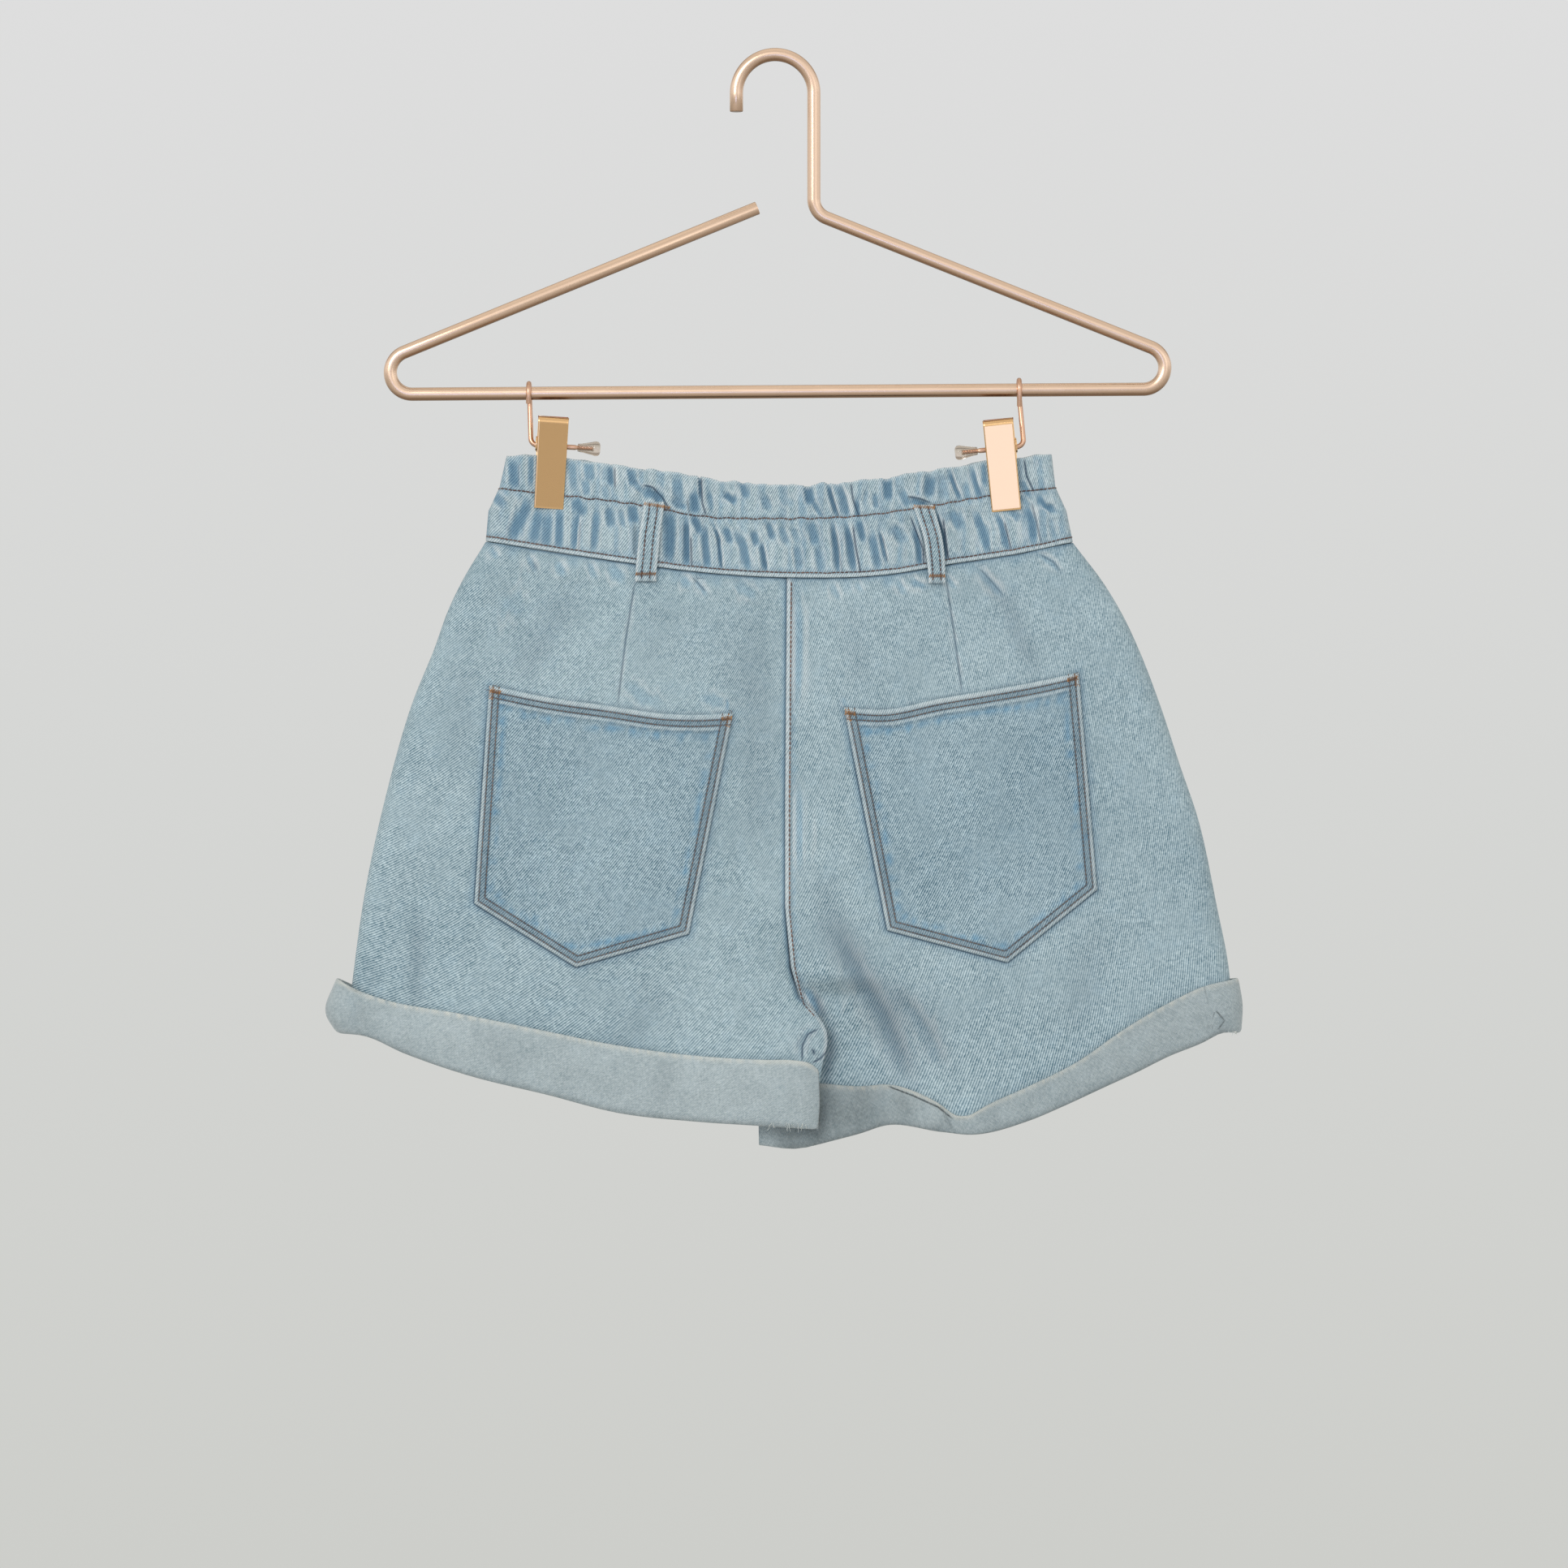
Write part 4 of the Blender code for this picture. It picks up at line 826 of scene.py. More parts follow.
band = {
    "thick": 2.4,
    "sheetGap": 0.15,
    "round": 8.0,
    "step": {back: 0.8, front: 2.0},
    "casingTall": 31,
    "frillTall": 17.5,
    "welt": 2.8,  # from the lower fold to the first stitch row
    # valleys between the gathers, blue with unfaded cloth and painted shade: half width, how blue, sharp
    # side, points; the frill's, then the casing's
    "valleys": [
        (2.6, 0.8, 0, -142.3, -217, -141.3, -231.5), (2.0, 0.7, 1, -131.6, -214, -131.8, -231),
        (2.0, 0.6, 0, -110.5, -217, -109.2, -233), (3.0, 0.6, 0, -101.2, -219, -100, -227),
        (2.0, 0.55, 0, -103.5, -228, -102, -235), (3.0, 0.75, 1, -88.8, -221, -88.2, -230),
        (1.8, 0.4, 0, -92, -231, -91, -237), (2.2, 0.7, 0, -78.7, -222, -77, -230),
        (1.6, 0.5, 0, -75.5, -229, -73, -233), (2.6, 0.8, 0, -70.5, -233.5, -65.5, -235.5, -61.5, -239),
        (3.0, 0.6, 0, -53, -227, -51.5, -242), (2.0, 0.6, 0, -55.5, -239, -49, -242.5),
        (2.4, 0.9, 0, -43.6, -235, -43, -245), (1.2, 0.8, 1, -40.6, -226, -40.2, -238),
        (1.4, 0.5, 0, -35.5, -235, -34.5, -243), (1.8, 0.8, 0, -26.5, -235.5, -22.5, -239.5),
        (1.9, 0.7, 0, -17.8, -229, -16, -237), (2.2, 0.5, 0, -6, -237, -3.5, -243),
        (2.0, 0.3, 0, 4, -236, 8, -241), (2.4, 0.85, 0, 17, -231, 19, -240),
        (1.2, 0.6, 0, 20.8, -240, 25, -247), (1.6, 0.9, 1, 29, -230, 31, -238, 34, -247.5),
        (3.2, 0.7, 1, 34, -230, 37.5, -237, 39.5, -248), (1.3, 0.7, 0, 44.2, -239, 45, -247),
        (1.1, 0.4, 0, 49, -234, 48.3, -240), (1.5, 0.6, 0, 54, -236.5, 54.8, -242),
        (2.5, 0.8, 0, 60.3, -227, 61.3, -238), (2.0, 0.6, 0, 68, -234, 72, -241),
        (2.8, 0.75, 0, 84.3, -226, 83, -236), (2.0, 0.7, 0, 74, -238.5, 81, -241),
        (3.0, 0.45, 0, 89, -225, 91, -238), (1.8, 0.8, 1, 94.8, -223, 97.5, -231, 100.5, -238),
        (1.8, 0.5, 0, 103, -230, 104.5, -237), (2.2, 0.8, 1, 107, -221, 108.5, -228, 112, -238),
        (1.5, 0.7, 0, 112.8, -220, 114, -230), (1.0, 0.5, 0, 111.8, -231, 113.5, -237),
        (1.8, 0.7, 0, 133.5, -228, 137.5, -236), (1.5, 0.4, 0, 144, -217, 143.2, -224),
        (1.6, 0.5, 0, 144.3, -227, 145.3, -233),
        (2.4, 0.6, 0, -152, -236, -147, -240.5),
        (3.0, 0.9, 0, -133.5, -237, -137, -246, -140.5, -254, -143, -261),
        (3.0, 0.75, 0, -128, -243, -129.5, -252, -131.5, -262), (3.0, 0.7, 0, -123, -245, -124.5, -264),
        (2.3, 0.85, 0, -116.5, -242, -117.2, -266), (2.8, 0.8, 0, -107.5, -238, -105, -246),
        (2.1, 1.0, 1, -106.2, -243, -107.5, -254, -108.7, -267),
        (2.0, 0.7, 0, -96.8, -243, -97.5, -254, -98.5, -266),
        (2.2, 0.7, 0, -90, -243, -89.3, -252), (1.6, 0.5, 0, -83.5, -244, -82.3, -252),
        (2.7, 0.8, 0, -77.2, -242, -75.7, -250), (1.8, 0.35, 0, -75, -253, -75, -268),
        (1.7, 0.4, 0, -86, -266, -84, -270), (3.0, 0.95, 0, -57.8, -243, -57, -256, -57.5, -273),
        (2.3, 1.0, 1, -47.8, -247.5, -47.2, -262, -46.8, -276), (2.0, 0.85, 0, -43.7, -248, -41, -256),
        (1.9, 0.75, 0, -38.5, -251, -38, -261, -36.3, -277),
        (1.5, 0.8, 1, -33.2, -251, -30.2, -260, -28.6, -277),
        (1.9, 0.75, 0, -26.5, -254, -24.5, -261), (2.2, 0.7, 0, -21.5, -256, -17, -264, -14, -277),
        (2.0, 0.7, 0, -12, -256.5, -10.5, -262), (2.0, 0.8, 1, -7, -262, -4.5, -277),
        (1.8, 0.7, 0, -3.5, -251.5, -1.5, -259), (1.9, 0.55, 0, 3.5, -253, 6.3, -262),
        (1.6, 0.4, 0, 9.3, -254, 12.3, -261), (1.9, 0.55, 0, 11.3, -263, 13.6, -277),
        (2.6, 0.65, 0, 18.3, -251, 22, -262), (2.0, 0.55, 0, 23.3, -264, 25.3, -278),
        (2.0, 1.0, 1, 31.2, -250, 33.5, -265, 34.7, -279.5), (2.7, 0.95, 1, 38.2, -250, 41, -262, 43.3, -279),
        (2.0, 0.8, 0, 45.2, -250, 47.6, -260), (2.0, 0.7, 0, 52, -256, 54.3, -265, 56, -277),
        (1.5, 0.75, 1, 56.5, -255, 60.3, -272), (2.8, 0.55, 0, 63.5, -253, 69.5, -261),
        (2.2, 0.9, 1, 75, -253, 78.3, -264, 79.3, -276), (1.9, 1.0, 1, 87.3, -244, 90.6, -257, 93, -272),
        (3.0, 0.65, 0, 95.5, -245, 100.5, -253.5), (2.2, 0.85, 0, 107.3, -245, 112.3, -253, 115.3, -268),
        (2.2, 0.95, 1, 120.3, -245, 124.2, -255, 127, -266.5), (2.0, 0.6, 0, 127.5, -244.5, 132, -248),
        (3.4, 0.85, 1, 136.8, -241, 139, -250, 140.6, -262), (1.6, 0.8, 0, 143, -236, 146, -241.5, 151, -244),
        (1.7, 0.5, 0, 133.5, -236, 137, -241), (1.6, 0.4, 0, 149, -248, 152, -260),
    ],
    # painted shadow lines where two folds meet: amount, points
    "meetings": [
        (0.65, -86.8, -222, -86.6, -232), (0.8, -71.5, -230.3, -66, -232, -61, -237, -57.8, -242.5),
        (0.5, -47.6, -238, -46.4, -246), (0.8, -40, -227, -39.4, -240, -37.3, -247),
        (0.75, -45.6, -258, -45, -276.5), (0.55, -31.5, -257, -28.6, -276), (0.45, -7.5, -262, -4.8, -277),
        (0.75, 41, -230, 42, -238, 45.8, -248), (0.5, 29.5, -232, 34.5, -248),
        (0.85, 42, -252, 43.6, -264, 46.5, -279.5), (0.5, 58, -258, 60.6, -272),
        (0.7, 71.5, -236.6, 78, -237.6, 84.5, -240), (0.85, 73, -247, 76.4, -256, 80, -265, 80.6, -277),
        (0.85, 90.8, -248, 92.4, -260, 94, -272), (0.75, 124.2, -250, 128.2, -266.5),
        (0.85, 135, -216.5, 136.2, -225, 140.5, -234.5), (0.6, 139, -240, 141.5, -250, 144.2, -262),
        (0.45, 95.5, -224, 100.5, -238), (0.5, 108, -226, 112.5, -237.5), (0.4, -105.5, -250, -106.6, -266),
        (0.4, -139, -219, -139.2, -231), (0.4, 33, -256, 36.6, -279), (0.4, 112.5, -255, 117, -267.5),
    ],
}


def bandHeight(across, up):
    seam, stitch = heightAt(waistSeam, across) + 0.15, heightAt(casingStitch, across)
    low = blend(seam, stitch, np.minimum(up, 1))
    return low + (heightAt(frillEdge, across) - stitch) * np.maximum(up - 1, 0)


def frontGathers():
    picked = np.random.default_rng(41)
    made = []
    for low, high, count in ((-216, -234, 32), (-244, -268, 34)):
        for k in range(count):
            x = -148 + 300 * (k + 0.5 + picked.uniform(-0.3, 0.3)) / count
            sag = 14 * math.cos(x / 100) if abs(x) < 157 else 0
            deep = picked.uniform(0.8, 2.0)
            shift, top = picked.uniform(-3, 3), picked.uniform(0, 6)
            made.append(([(x, low - sag - top), (x + shift, high - sag)], picked.uniform(1.6, 2.8), deep,
                         picked.integers(-1, 2), 0.45 * deep))
    return made


def longer(points, reach):
    # a path drawn out that much past both its ends
    points = np.array(points, float)
    first, last = points[0] - points[1], points[-1] - points[-2]
    points[0] += unit(first) * reach
    points[-1] += unit(last) * reach
    return points


def casingRow(across):
    return heightAt(casingStitch, across) + ripple(across, 0, 91, 11, 0.2)


def bandRelief(face, across, height):
    if face == back:
        strokes = [(longer(pairs(ends), 2.0), 1.05 * width, 0.5 + 2.3 * tint, sharp, min(1, 1.25 * tint))
                   for width, tint, sharp, *ends in band["valleys"]]
        fold, foldShare = foldLines(across, height, band["meetings"], 3.0)
    else:
        strokes = frontGathers()
        fold, foldShare = np.full_like(across, 4.0), np.zeros_like(across)
    depth, blue, wear = crease(across, height, strokes)
    stitch, seam = casingRow(across), heightAt(waistSeam, across)
    tight = bell(height, stitch, 1.1)
    tuck = 0.5 + 0.5 * ripple(across, height * 0.2, 21 + face, 5.2, 1.0)
    fromSeam = height - seam
    depth += 0.5 * tight + 0.35 * bell(fromSeam, band["welt"], 0.8)
    loose = rise(fromSeam, 2.5, 7) * (1 - 0.5 * tight)
    depth += loose * (ripple(across, height * 0.35, 31 + face, 9, 0.4)
                      + ripple(across, height * 0.6, 33 + face, 4.4, 0.16))
    depth *= blend(0.25, 1, rise(fromSeam, 2.0, 5.0))
    blue = blue * rise(fromSeam, 2.4, 3.6)
    # bluer puckers in the casing and beside the stitch rows: unfaded cloth and painted shade
    blue = np.maximum(blue, 0.45 * np.clip(ripple(across, height * 0.5, 35 + face, 6.5, 1.0), 0, 1) * loose)
    blue = np.maximum(blue, 0.5 * np.clip(tuck, 0, 1) * bell(height - stitch, -1.8, 1.6))
    blue = np.maximum(blue, 0.4 * np.clip(tuck, 0, 1) * bell(height - stitch, 1.8, 1.4))
    blue = np.maximum(blue, 0.45 * bell(fromSeam, 4.4, 1.3) * (0.4 + 0.6 * np.clip(tuck, 0, 1)))
    wear = np.maximum(wear, 0.3 * (1 - blue)
                      * np.clip(0.5 + ripple(across, height * 0.4, 37 + face, 7, 0.6), 0, 1))
    wear = np.maximum(wear, 0.75 * bell(fromSeam, 1.2, 1.1) * (0.75 + 0.25 * np.sin(across * 2.1)))
    wear = np.maximum(wear, 0.5 * rise(height - heightAt(frillEdge, across), -1.8, -0.4))
    # painted shade: darker in the deep blue valleys and along both stitch rows
    dark = 0.38 * np.clip(blue, 0, 1) ** 2
    dark = np.maximum(dark, 0.5 * bell(height, stitch, 0.7))
    dark = np.maximum(dark, 0.5 * bell(fromSeam, band["welt"], 0.7))
    foldShare = foldShare * rise(fromSeam, 1.8, 3.0)
    return depth, {"blue": blue, "wear": np.clip(wear, 0, 1), "dark": dark, "fold": fold,
                   "foldShare": foldShare}


def makeBand(face):
    step, tall = band["step"][face], band["casingTall"]
    ends = np.concatenate([[0], 0.03 * (1 - np.cos(np.linspace(0, math.pi / 2, 8)))[1:]])
    share = np.concatenate([ends, np.linspace(0.03, 0.97, round(296 / step))[1:-1], 1 - ends[::-1]])
    casing = spacing([0, (0.4, 1.2), (0.6, 4.2), (step * 1.1, 28.6), (0.6, tall)]) / tall
    frill = 1 + spacing([0, (0.6, 2.4), (step * 1.1, 16.2)])[1:] / band["frillTall"]
    ups = np.concatenate([casing, frill])
    swell = np.interp(ups * tall, [0, 0.35, 1.0, 2.0, 2.8, 3.8], [0.3, 0.85, 1.15, 1.12, 0.85, 1.0])
    rows = [(up, 0, out, 0, out - (band["thick"] - band["sheetGap"]) / 2) for up, out in zip(ups, swell)]
    rows += [(2, -0.45, 0.8, -1.2, -0.1), (2, -0.1, 0.35, -1.1, -0.15), (2, 0, -0.2, -1.0, -0.2),
             (2, -0.1, -0.75, -1.1, -0.25), (2, -0.45, -1.2, -1.2, -0.3)]
    rows += [(up, 0, -1.4, 0, -0.27) for up in np.linspace(1.93, 0, 12)]
    rows = np.array(rows)[:, :, None]
    grids = []
    for dz, out in ((rows[:, 1], rows[:, 2]), (rows[:, 3], rows[:, 4])):
        up = rows[:, 0] + 0 * share[None, :]
        inset = np.clip(0.6 - out, 0, band["thick"])
        across = blend(-152.0, 156.0, share)[None, :] + 0 * up
        for _ in range(2):  # the height follows the width, which follows the height
            height = bandHeight(across, up)
            left = np.interp(height, bandSides[:, 0], bandSides[:, 1]) + inset
            right = np.interp(height, bandSides[:, 0], bandSides[:, 2]) - inset
            across = blend(left, right, share[None, :])
        height = bandHeight(across, up)
        fromSide = np.minimum(across - left, right - across)
        closed = rounded(fromSide, band["round"] + out - 0.6)
        full = faceDepth(face, across, height)
        dip, looks = bandRelief(face, across, height)
        clipped = pinch(across, np.full_like(height, -250.0)) ** 6
        dip = np.minimum(dip, (np.maximum(full - cloth["clipDepth"], 0) * 0.7 + 0.25)) * (1 - 0.75 * clipped)
        dip *= rise(fromSide, 0.5, 5)
        lift = rise(up, 1.3, 2.0) * (0.75 - 0.55 * np.clip(dip, -0.5, 2.2)
                                     + 0.5 * ripple(across, 0, 51 + face, 24, 1.0))
        depth = cloth["seamGap"] / 2 + np.maximum((full + out - dip) * closed, 0)
        grids.append(np.stack([across, face * depth, height + dz + lift], -1))
        if len(grids) == 1:
            smooth = np.stack([across, face * (full + out) * closed, height], -1)
            flat = rolledOut(smooth)
            marks = looks
    flat = (flat[0], flat[1] + np.where(rows[:, 2] < 0,
                                        2 * (grids[0][:, :, 2].max(axis=0) - grids[0][:, :, 2]), 0))
    word = faceWords[face]
    twill = (60, 7, 0, -250) if face == back else (120, -7, 0, -250)
    piece = clothWall(f"waistband{word.capitalize()}", *grids, (denim,), twill, face, flat, marks)
    declare(piece, [f"waistband_{word}"])
    return piece


bands = {face: makeBand(face) for face in (back, front)}
print("waistband made")

# the pockets themselves


def makePocket(side):
    pocket = pockets[side]
    mouth, point = pocket["mouth"], pocket["point"]
    fine, step = pockets["fineStep"], pockets["step"]
    wide, tall = point[2][0] - point[0][0], 122.0
    tip = (point[1][0] - point[0][0]) / wide
    marks = spacing([0, (fine, 9), (step, tip * wide), (step, wide - 9), (fine, wide)]) / wide
    downs = spacing([0, (fine, 11), (step, tall - 9), (fine, tall)]) / tall
    s, d = np.meshgrid(marks, downs)
    topX = blend(mouth[0][0], mouth[-1][0], s)
    footX = blend(point[0][0], point[2][0], s)
    footZ = np.interp(footX, [p[0] for p in point], [p[1] for p in point])
    across, height = blend(topX, footX, d), blend(heightAt(mouth, topX), footZ, d)
    edges = pocketEdges(pocket)
    fromEdge = np.min([fromLine(across, height, a, b)[0] for a, b in zip(edges, edges[1:])], axis=0)
    fromMouth = np.maximum(heightAt(mouth, across) - height, 0) * 0.99
    sewn = np.interp(fromEdge, [0, 0.4, 1.2, 2.0, 2.4, 3.0, 4.2, 5.2, 5.6, 6.3, 7.5, 9],
                     [0.45, 1.5, 2.2, 2.1, 1.85, 2.2, 2.3, 2.1, 1.85, 2.0, 1.75, 1.5])
    hem = np.interp(fromMouth, [0, 0.4, 1.4, 3.0, 3.4, 4.0, 6.0, 6.4, 7.2, 9.0, 9.8, 11],
                    [1.3, 2.1, 2.6, 2.4, 2.15, 2.4, 2.4, 2.15, 2.35, 2.3, 1.75, 1.5])
    out = np.minimum(np.maximum(sewn, hem), np.interp(fromEdge, [0, 0.5, 1.3], [0.6, 1.8, 2.7]))
    out = np.minimum(out, np.interp(fromMouth, [0, 0.5, 1.4], [1.2, 2.2, 2.9]))
    # puckers, blue with painted shade
    dent, blue, wear = crease(across, height, [
        ([(x - 1.4, z + 0.9), (x + 1.2, z - 1.8)], 2.1, 0.5, 0, 0.62) for x, z in pocket["puckers"]])
    waves = ripple(across, height, 61 + len(side), 7.5, 1.0) * 0.5 + ripple(
        height, across, 63, 8.5, 1.0) * 0.5
    inside = fromEdge > 6
    # bluer and darker in the dip inside the stitching and under the mouth's ridge, which is painted shade;
    # darker along and between the stitch rows
    row = bell(fromEdge, 8.2, 2.2) + bell(fromMouth, 12.0, 2.6) * inside
    blue = np.maximum(blue, np.clip(0.3 + 0.8 * waves, 0, 1) * np.clip(row, 0, 1))
    rowsAt = [(fromEdge, at, fromMouth > 2.6) for at in pockets["stitchRows"]]
    rowsAt += [(fromMouth, at, fromEdge > 2) for at in pockets["mouthRows"]]
    dark = np.max([0.7 * bell(away, at, 0.7) * where for away, at, where in rowsAt], axis=0)
    between = np.maximum(rise(fromEdge, 2.4, 3.2) * (1 - rise(fromEdge, 4.8, 5.6)) * (fromMouth > 3),
                         rise(fromMouth, 3.4, 4.2) * (1 - rise(fromMouth, 5.8, 6.6)) * (fromEdge > 3))
    dark = np.maximum(dark, 0.28 * between)
    dark = np.maximum(dark, 0.3 * bell(fromMouth, 9.4, 0.8) * inside * np.clip(0.6 + 0.5 * waves, 0, 1))
    edgeWear = 1 - rise(np.abs(fromEdge - 1.1), 0.7, 1.2)
    edgeWear = np.maximum(edgeWear, 0.9 * (1 - rise(np.abs(fromMouth - 1.6), 1.1, 1.7)))
    edgeWear = np.maximum(edgeWear, 0.6 * (1 - rise(np.abs(fromMouth - 7.9), 0.6, 1.1)) * inside)
    wear = np.clip(edgeWear * (0.7 + 0.25 * waves), 0, 0.9)
    blue = blue * (1 - wear)
    ground = faceDepth(back, across, height) - ripple(across, height, 3, 62, 0.22)
    outer = np.stack([across, -(ground + out - dent + 0.12 * waves * np.clip(row, 0, 1)), height], -1)
    under = np.minimum(0.35, out - 0.3)
    inner = np.stack([across, -(ground + under), height], -1)
    marks = {"blue": blue, "wear": wear, "dark": dark}
    name = f"pocket{side.capitalize()}"
    piece = clothWall(name, outer, inner, (pocketDenim,), pocket["twill"], back, (across, height), marks)
    declare(piece, [f"pocket_{side}"])
    return piece


pocketPieces = {side: makePocket(side) for side in ("left", "right")}
print("pockets made")

# belt loops

loops = {
    "backLeft": (back, [(-71, -60, -239.5, 0), (-71.6, -60.4, -245, 0.6), (-73.5, -62, -257, 1.6),
                        (-74.8, -63.2, -270, 1.2), (-75.5, -64, -277, 0.3), (-75.7, -64.2, -282.5, 0)]),
    "backRight": (back, [(74.5, 85.5, -241, 0), (76, 87, -246, 0.6), (80, 90.2, -258, 1.8),
                         (81.6, 91.6, -268, 1.4), (82.6, 92, -277, 0.3), (83, 92.2, -283.5, 0)]),
    "frontLeft": (front, [(-78, -66.5, -240.5, 0), (-78, -66.5, -246, 0.6), (-78, -66.5, -260, 1.6),
                          (-78, -66.5, -276, 0.3), (-78, -66.5, -283, 0)]),
    "frontRight": (front, [(74, 85.5, -240.5, 0), (74, 85.5, -246, 0.6), (74, 85.5, -260, 1.6),
                           (74, 85.5, -276, 0.3), (74, 85.5, -283, 0)]),
}
loopShape = {"thick": 1.6, "clear": 1.35, "rowsApart": 4.4, "columns": 15, "rows": 56}


def loopAcross(rows, height, share):
    table = np.array(rows)[::-1]
    return blend(through(table[:, 2], table[:, 0], height), through(table[:, 2], table[:, 1], height), share)


def makeLoop(name):
    face, rows = loops[name]
    table = np.array(rows, float)
    height = np.linspace(table[0, 2], table[-1, 2], loopShape["rows"])[:, None]
    ease = 0.5 - 0.5 * np.cos(np.linspace(0, math.pi, loopShape["columns"]))
    share = (0.35 * np.linspace(0, 1, loopShape["columns"]) + 0.65 * ease)[None, :]
    height = height + 0 * share
    across = loopAcross(rows, height, share)
    lift = through(table[::-1, 2], table[::-1, 3], height)
    width = loopAcross(rows, height, 1.0) - loopAcross(rows, height, 0.0)
    fromEdge = np.minimum(share, 1 - share) * width
    fromEnd = np.minimum(table[0, 2] - height, height - table[-1, 2])
    ground = faceDepth(face, across, height) + loopShape["clear"] + lift
    thick = loopShape["thick"] * np.interp(fromEdge, [0, 0.4, 1.1, 2.0], [0.35, 0.75, 1.0, 1.06])
    rowAt = np.abs(np.abs(share - 0.5) * width - loopShape["rowsApart"] / 2)
    thick -= 0.25 * bell(rowAt, 0, 0.6)
    thick *= np.interp(fromEnd, [0, 0.5, 1.5], [0.45, 0.85, 1.0])
    tack = bell(fromEnd, 0, 2.2)
    outer = np.stack([across, face * (ground + thick), height], -1)
    inner = np.stack([across, face * ground, height], -1)
    wear = np.clip(0.85 * bell(fromEdge, 0.6, 0.9) + 0.3 * tack, 0, 1)
    # bluer and darker along the sunk stitch rows, which is painted shade; darker across the loop 4 mm above
    # its foot
    blue = 0.3 * bell(rowAt, 0, 0.9) * (0.6 + 0.4 * np.sin(height * 1.7))
    dark = 0.5 * bell(rowAt, 0, 0.6) * (0.75 + 0.25 * np.sin(height * 1.1))
    dark = np.maximum(dark, 0.5 * bell(fromEnd, 4.0, 0.8) * (height < table[:, 2].mean()))
    marks = {"blue": blue, "wear": wear, "dark": dark}
    twill = (60, 0, across.mean(), height.mean())
    label = "beltLoop" + name[0].upper() + name[1:]
    piece = clothWall(label, outer, inner, (denim,), twill, face, (across, height), marks)
    node = name.replace("Left", "_left").replace("Right", "_right")
    declare(piece, [f"belt_loop_{node}"])
    return piece


loopPieces = {name: makeLoop(name) for name in loops}
print("belt loops made")

# turned-up cuffs, the wrong side out

cuff = {
    "sheet": 1.2,
    "creases": {
        "left": [
            (3.0, 1.1, 1, 0.35, -229, -503, -226, -515, -228, -526),
            (5.0, 0.5, 0, 0.1, -150, -524, -148, -540), (6.0, 0.5, 0, 0.1, -60, -541, -62, -565),
            (5.0, 0.5, 0, 0.1, -196, -512, -190, -534), (4.0, 0.5, 0, 0.15, 2, -545, 4, -572),
        ],
        "right": [
            (4.5, 1.1, 1, 0.25, 64, -556, 58, -566, 50, -578),
            (3.5, 0.8, 0, 0.2, 98, -572, 92, -577, 84, -580),
            (4.0, 0.7, 0, 0.15, 88, -565, 74, -570, 64, -577), (4.0, 0.6, 0, 0.15, 119, -564, 112, -573),
            (5.0, 0.5, 0, 0.1, 150, -549, 143, -566), (5.0, 0.5, 0, 0.1, 199, -519, 192, -538),
            (1.6, 1.2, 1, 0.3, 238.2, -514.6, 242.6, -520, 238.2, -525),
            (1.2, 0.7, 1, 0.1, 234, -500, 235, -512, 236, -524), (5.0, 0.6, 0, 0.1, 28, -557, 24, -575),
        ],
    },
    # painted shade: half width, amount, points
    "shades": {
        "left": [(7.0, 0.14, -223, -510, -224, -526), (9.0, 0.08, -206, -528, -196, -538),
                 (1.0, 0.35, -230, -501, -224, -504.5),
                 (10.0, 0.06, -150, -522, -148, -546), (9.0, 0.07, -60, -541, -62, -566),
                 (0.8, 0.5, -1, -578, 18, -578.4)],
        "right": [(20.0, 0.32, 6, -572, 62, -568), (4.0, 0.2, 67, -559, 73, -574),
                  (0.8, 0.3, 90, -566, 96, -579),
                  (4.0, 0.16, 96, -575, 84, -581), (4.5, 0.15, 31, -557, 34, -580),
                  (5.0, 0.12, 46, -556, 45, -578), (4.0, 0.3, 23, -556, 23, -588),
                  (1.1, 0.95, 234.6, -523.4, 235.6, -524.4), (2.5, 0.25, 244, -521, 240, -527),
                  (5.0, 0.1, 119, -566, 113, -578), (9.0, 0.25, 0, -583, 14, -588)],
    },
    # painted shadow lines: amount, points
    "folds": {
        "left": [(0.5, -231, -501.5, -224, -505)],
        "right": [(0.85, 60, -555.2, 75, -560.6, 88, -566.4, 96.6, -573.4),
                  (0.8, 237.6, -514, 242.8, -519.8, 238, -525.8),
                  (0.35, 231.5, -501, 234, -512), (0.4, 90, -566, 92, -574, 96, -579)],
    },
    "rim": {"left": [(-236, -498.5), (-229.7, -502.3)],
            "right": [(52, -555), (63.5, -554.2), (75, -558.9), (88, -564.8), (98, -571.9), (104.5, -571.9),
                      (116, -565.6)]},
}


def cuffColumns():
    bend = 1 - np.cos(np.linspace(0, math.pi / 2, 9))
    return np.concatenate([0.075 * bend, np.linspace(0.075, 0.85, 170)[1:-1], 1 - 0.15 * bend[::-1]])


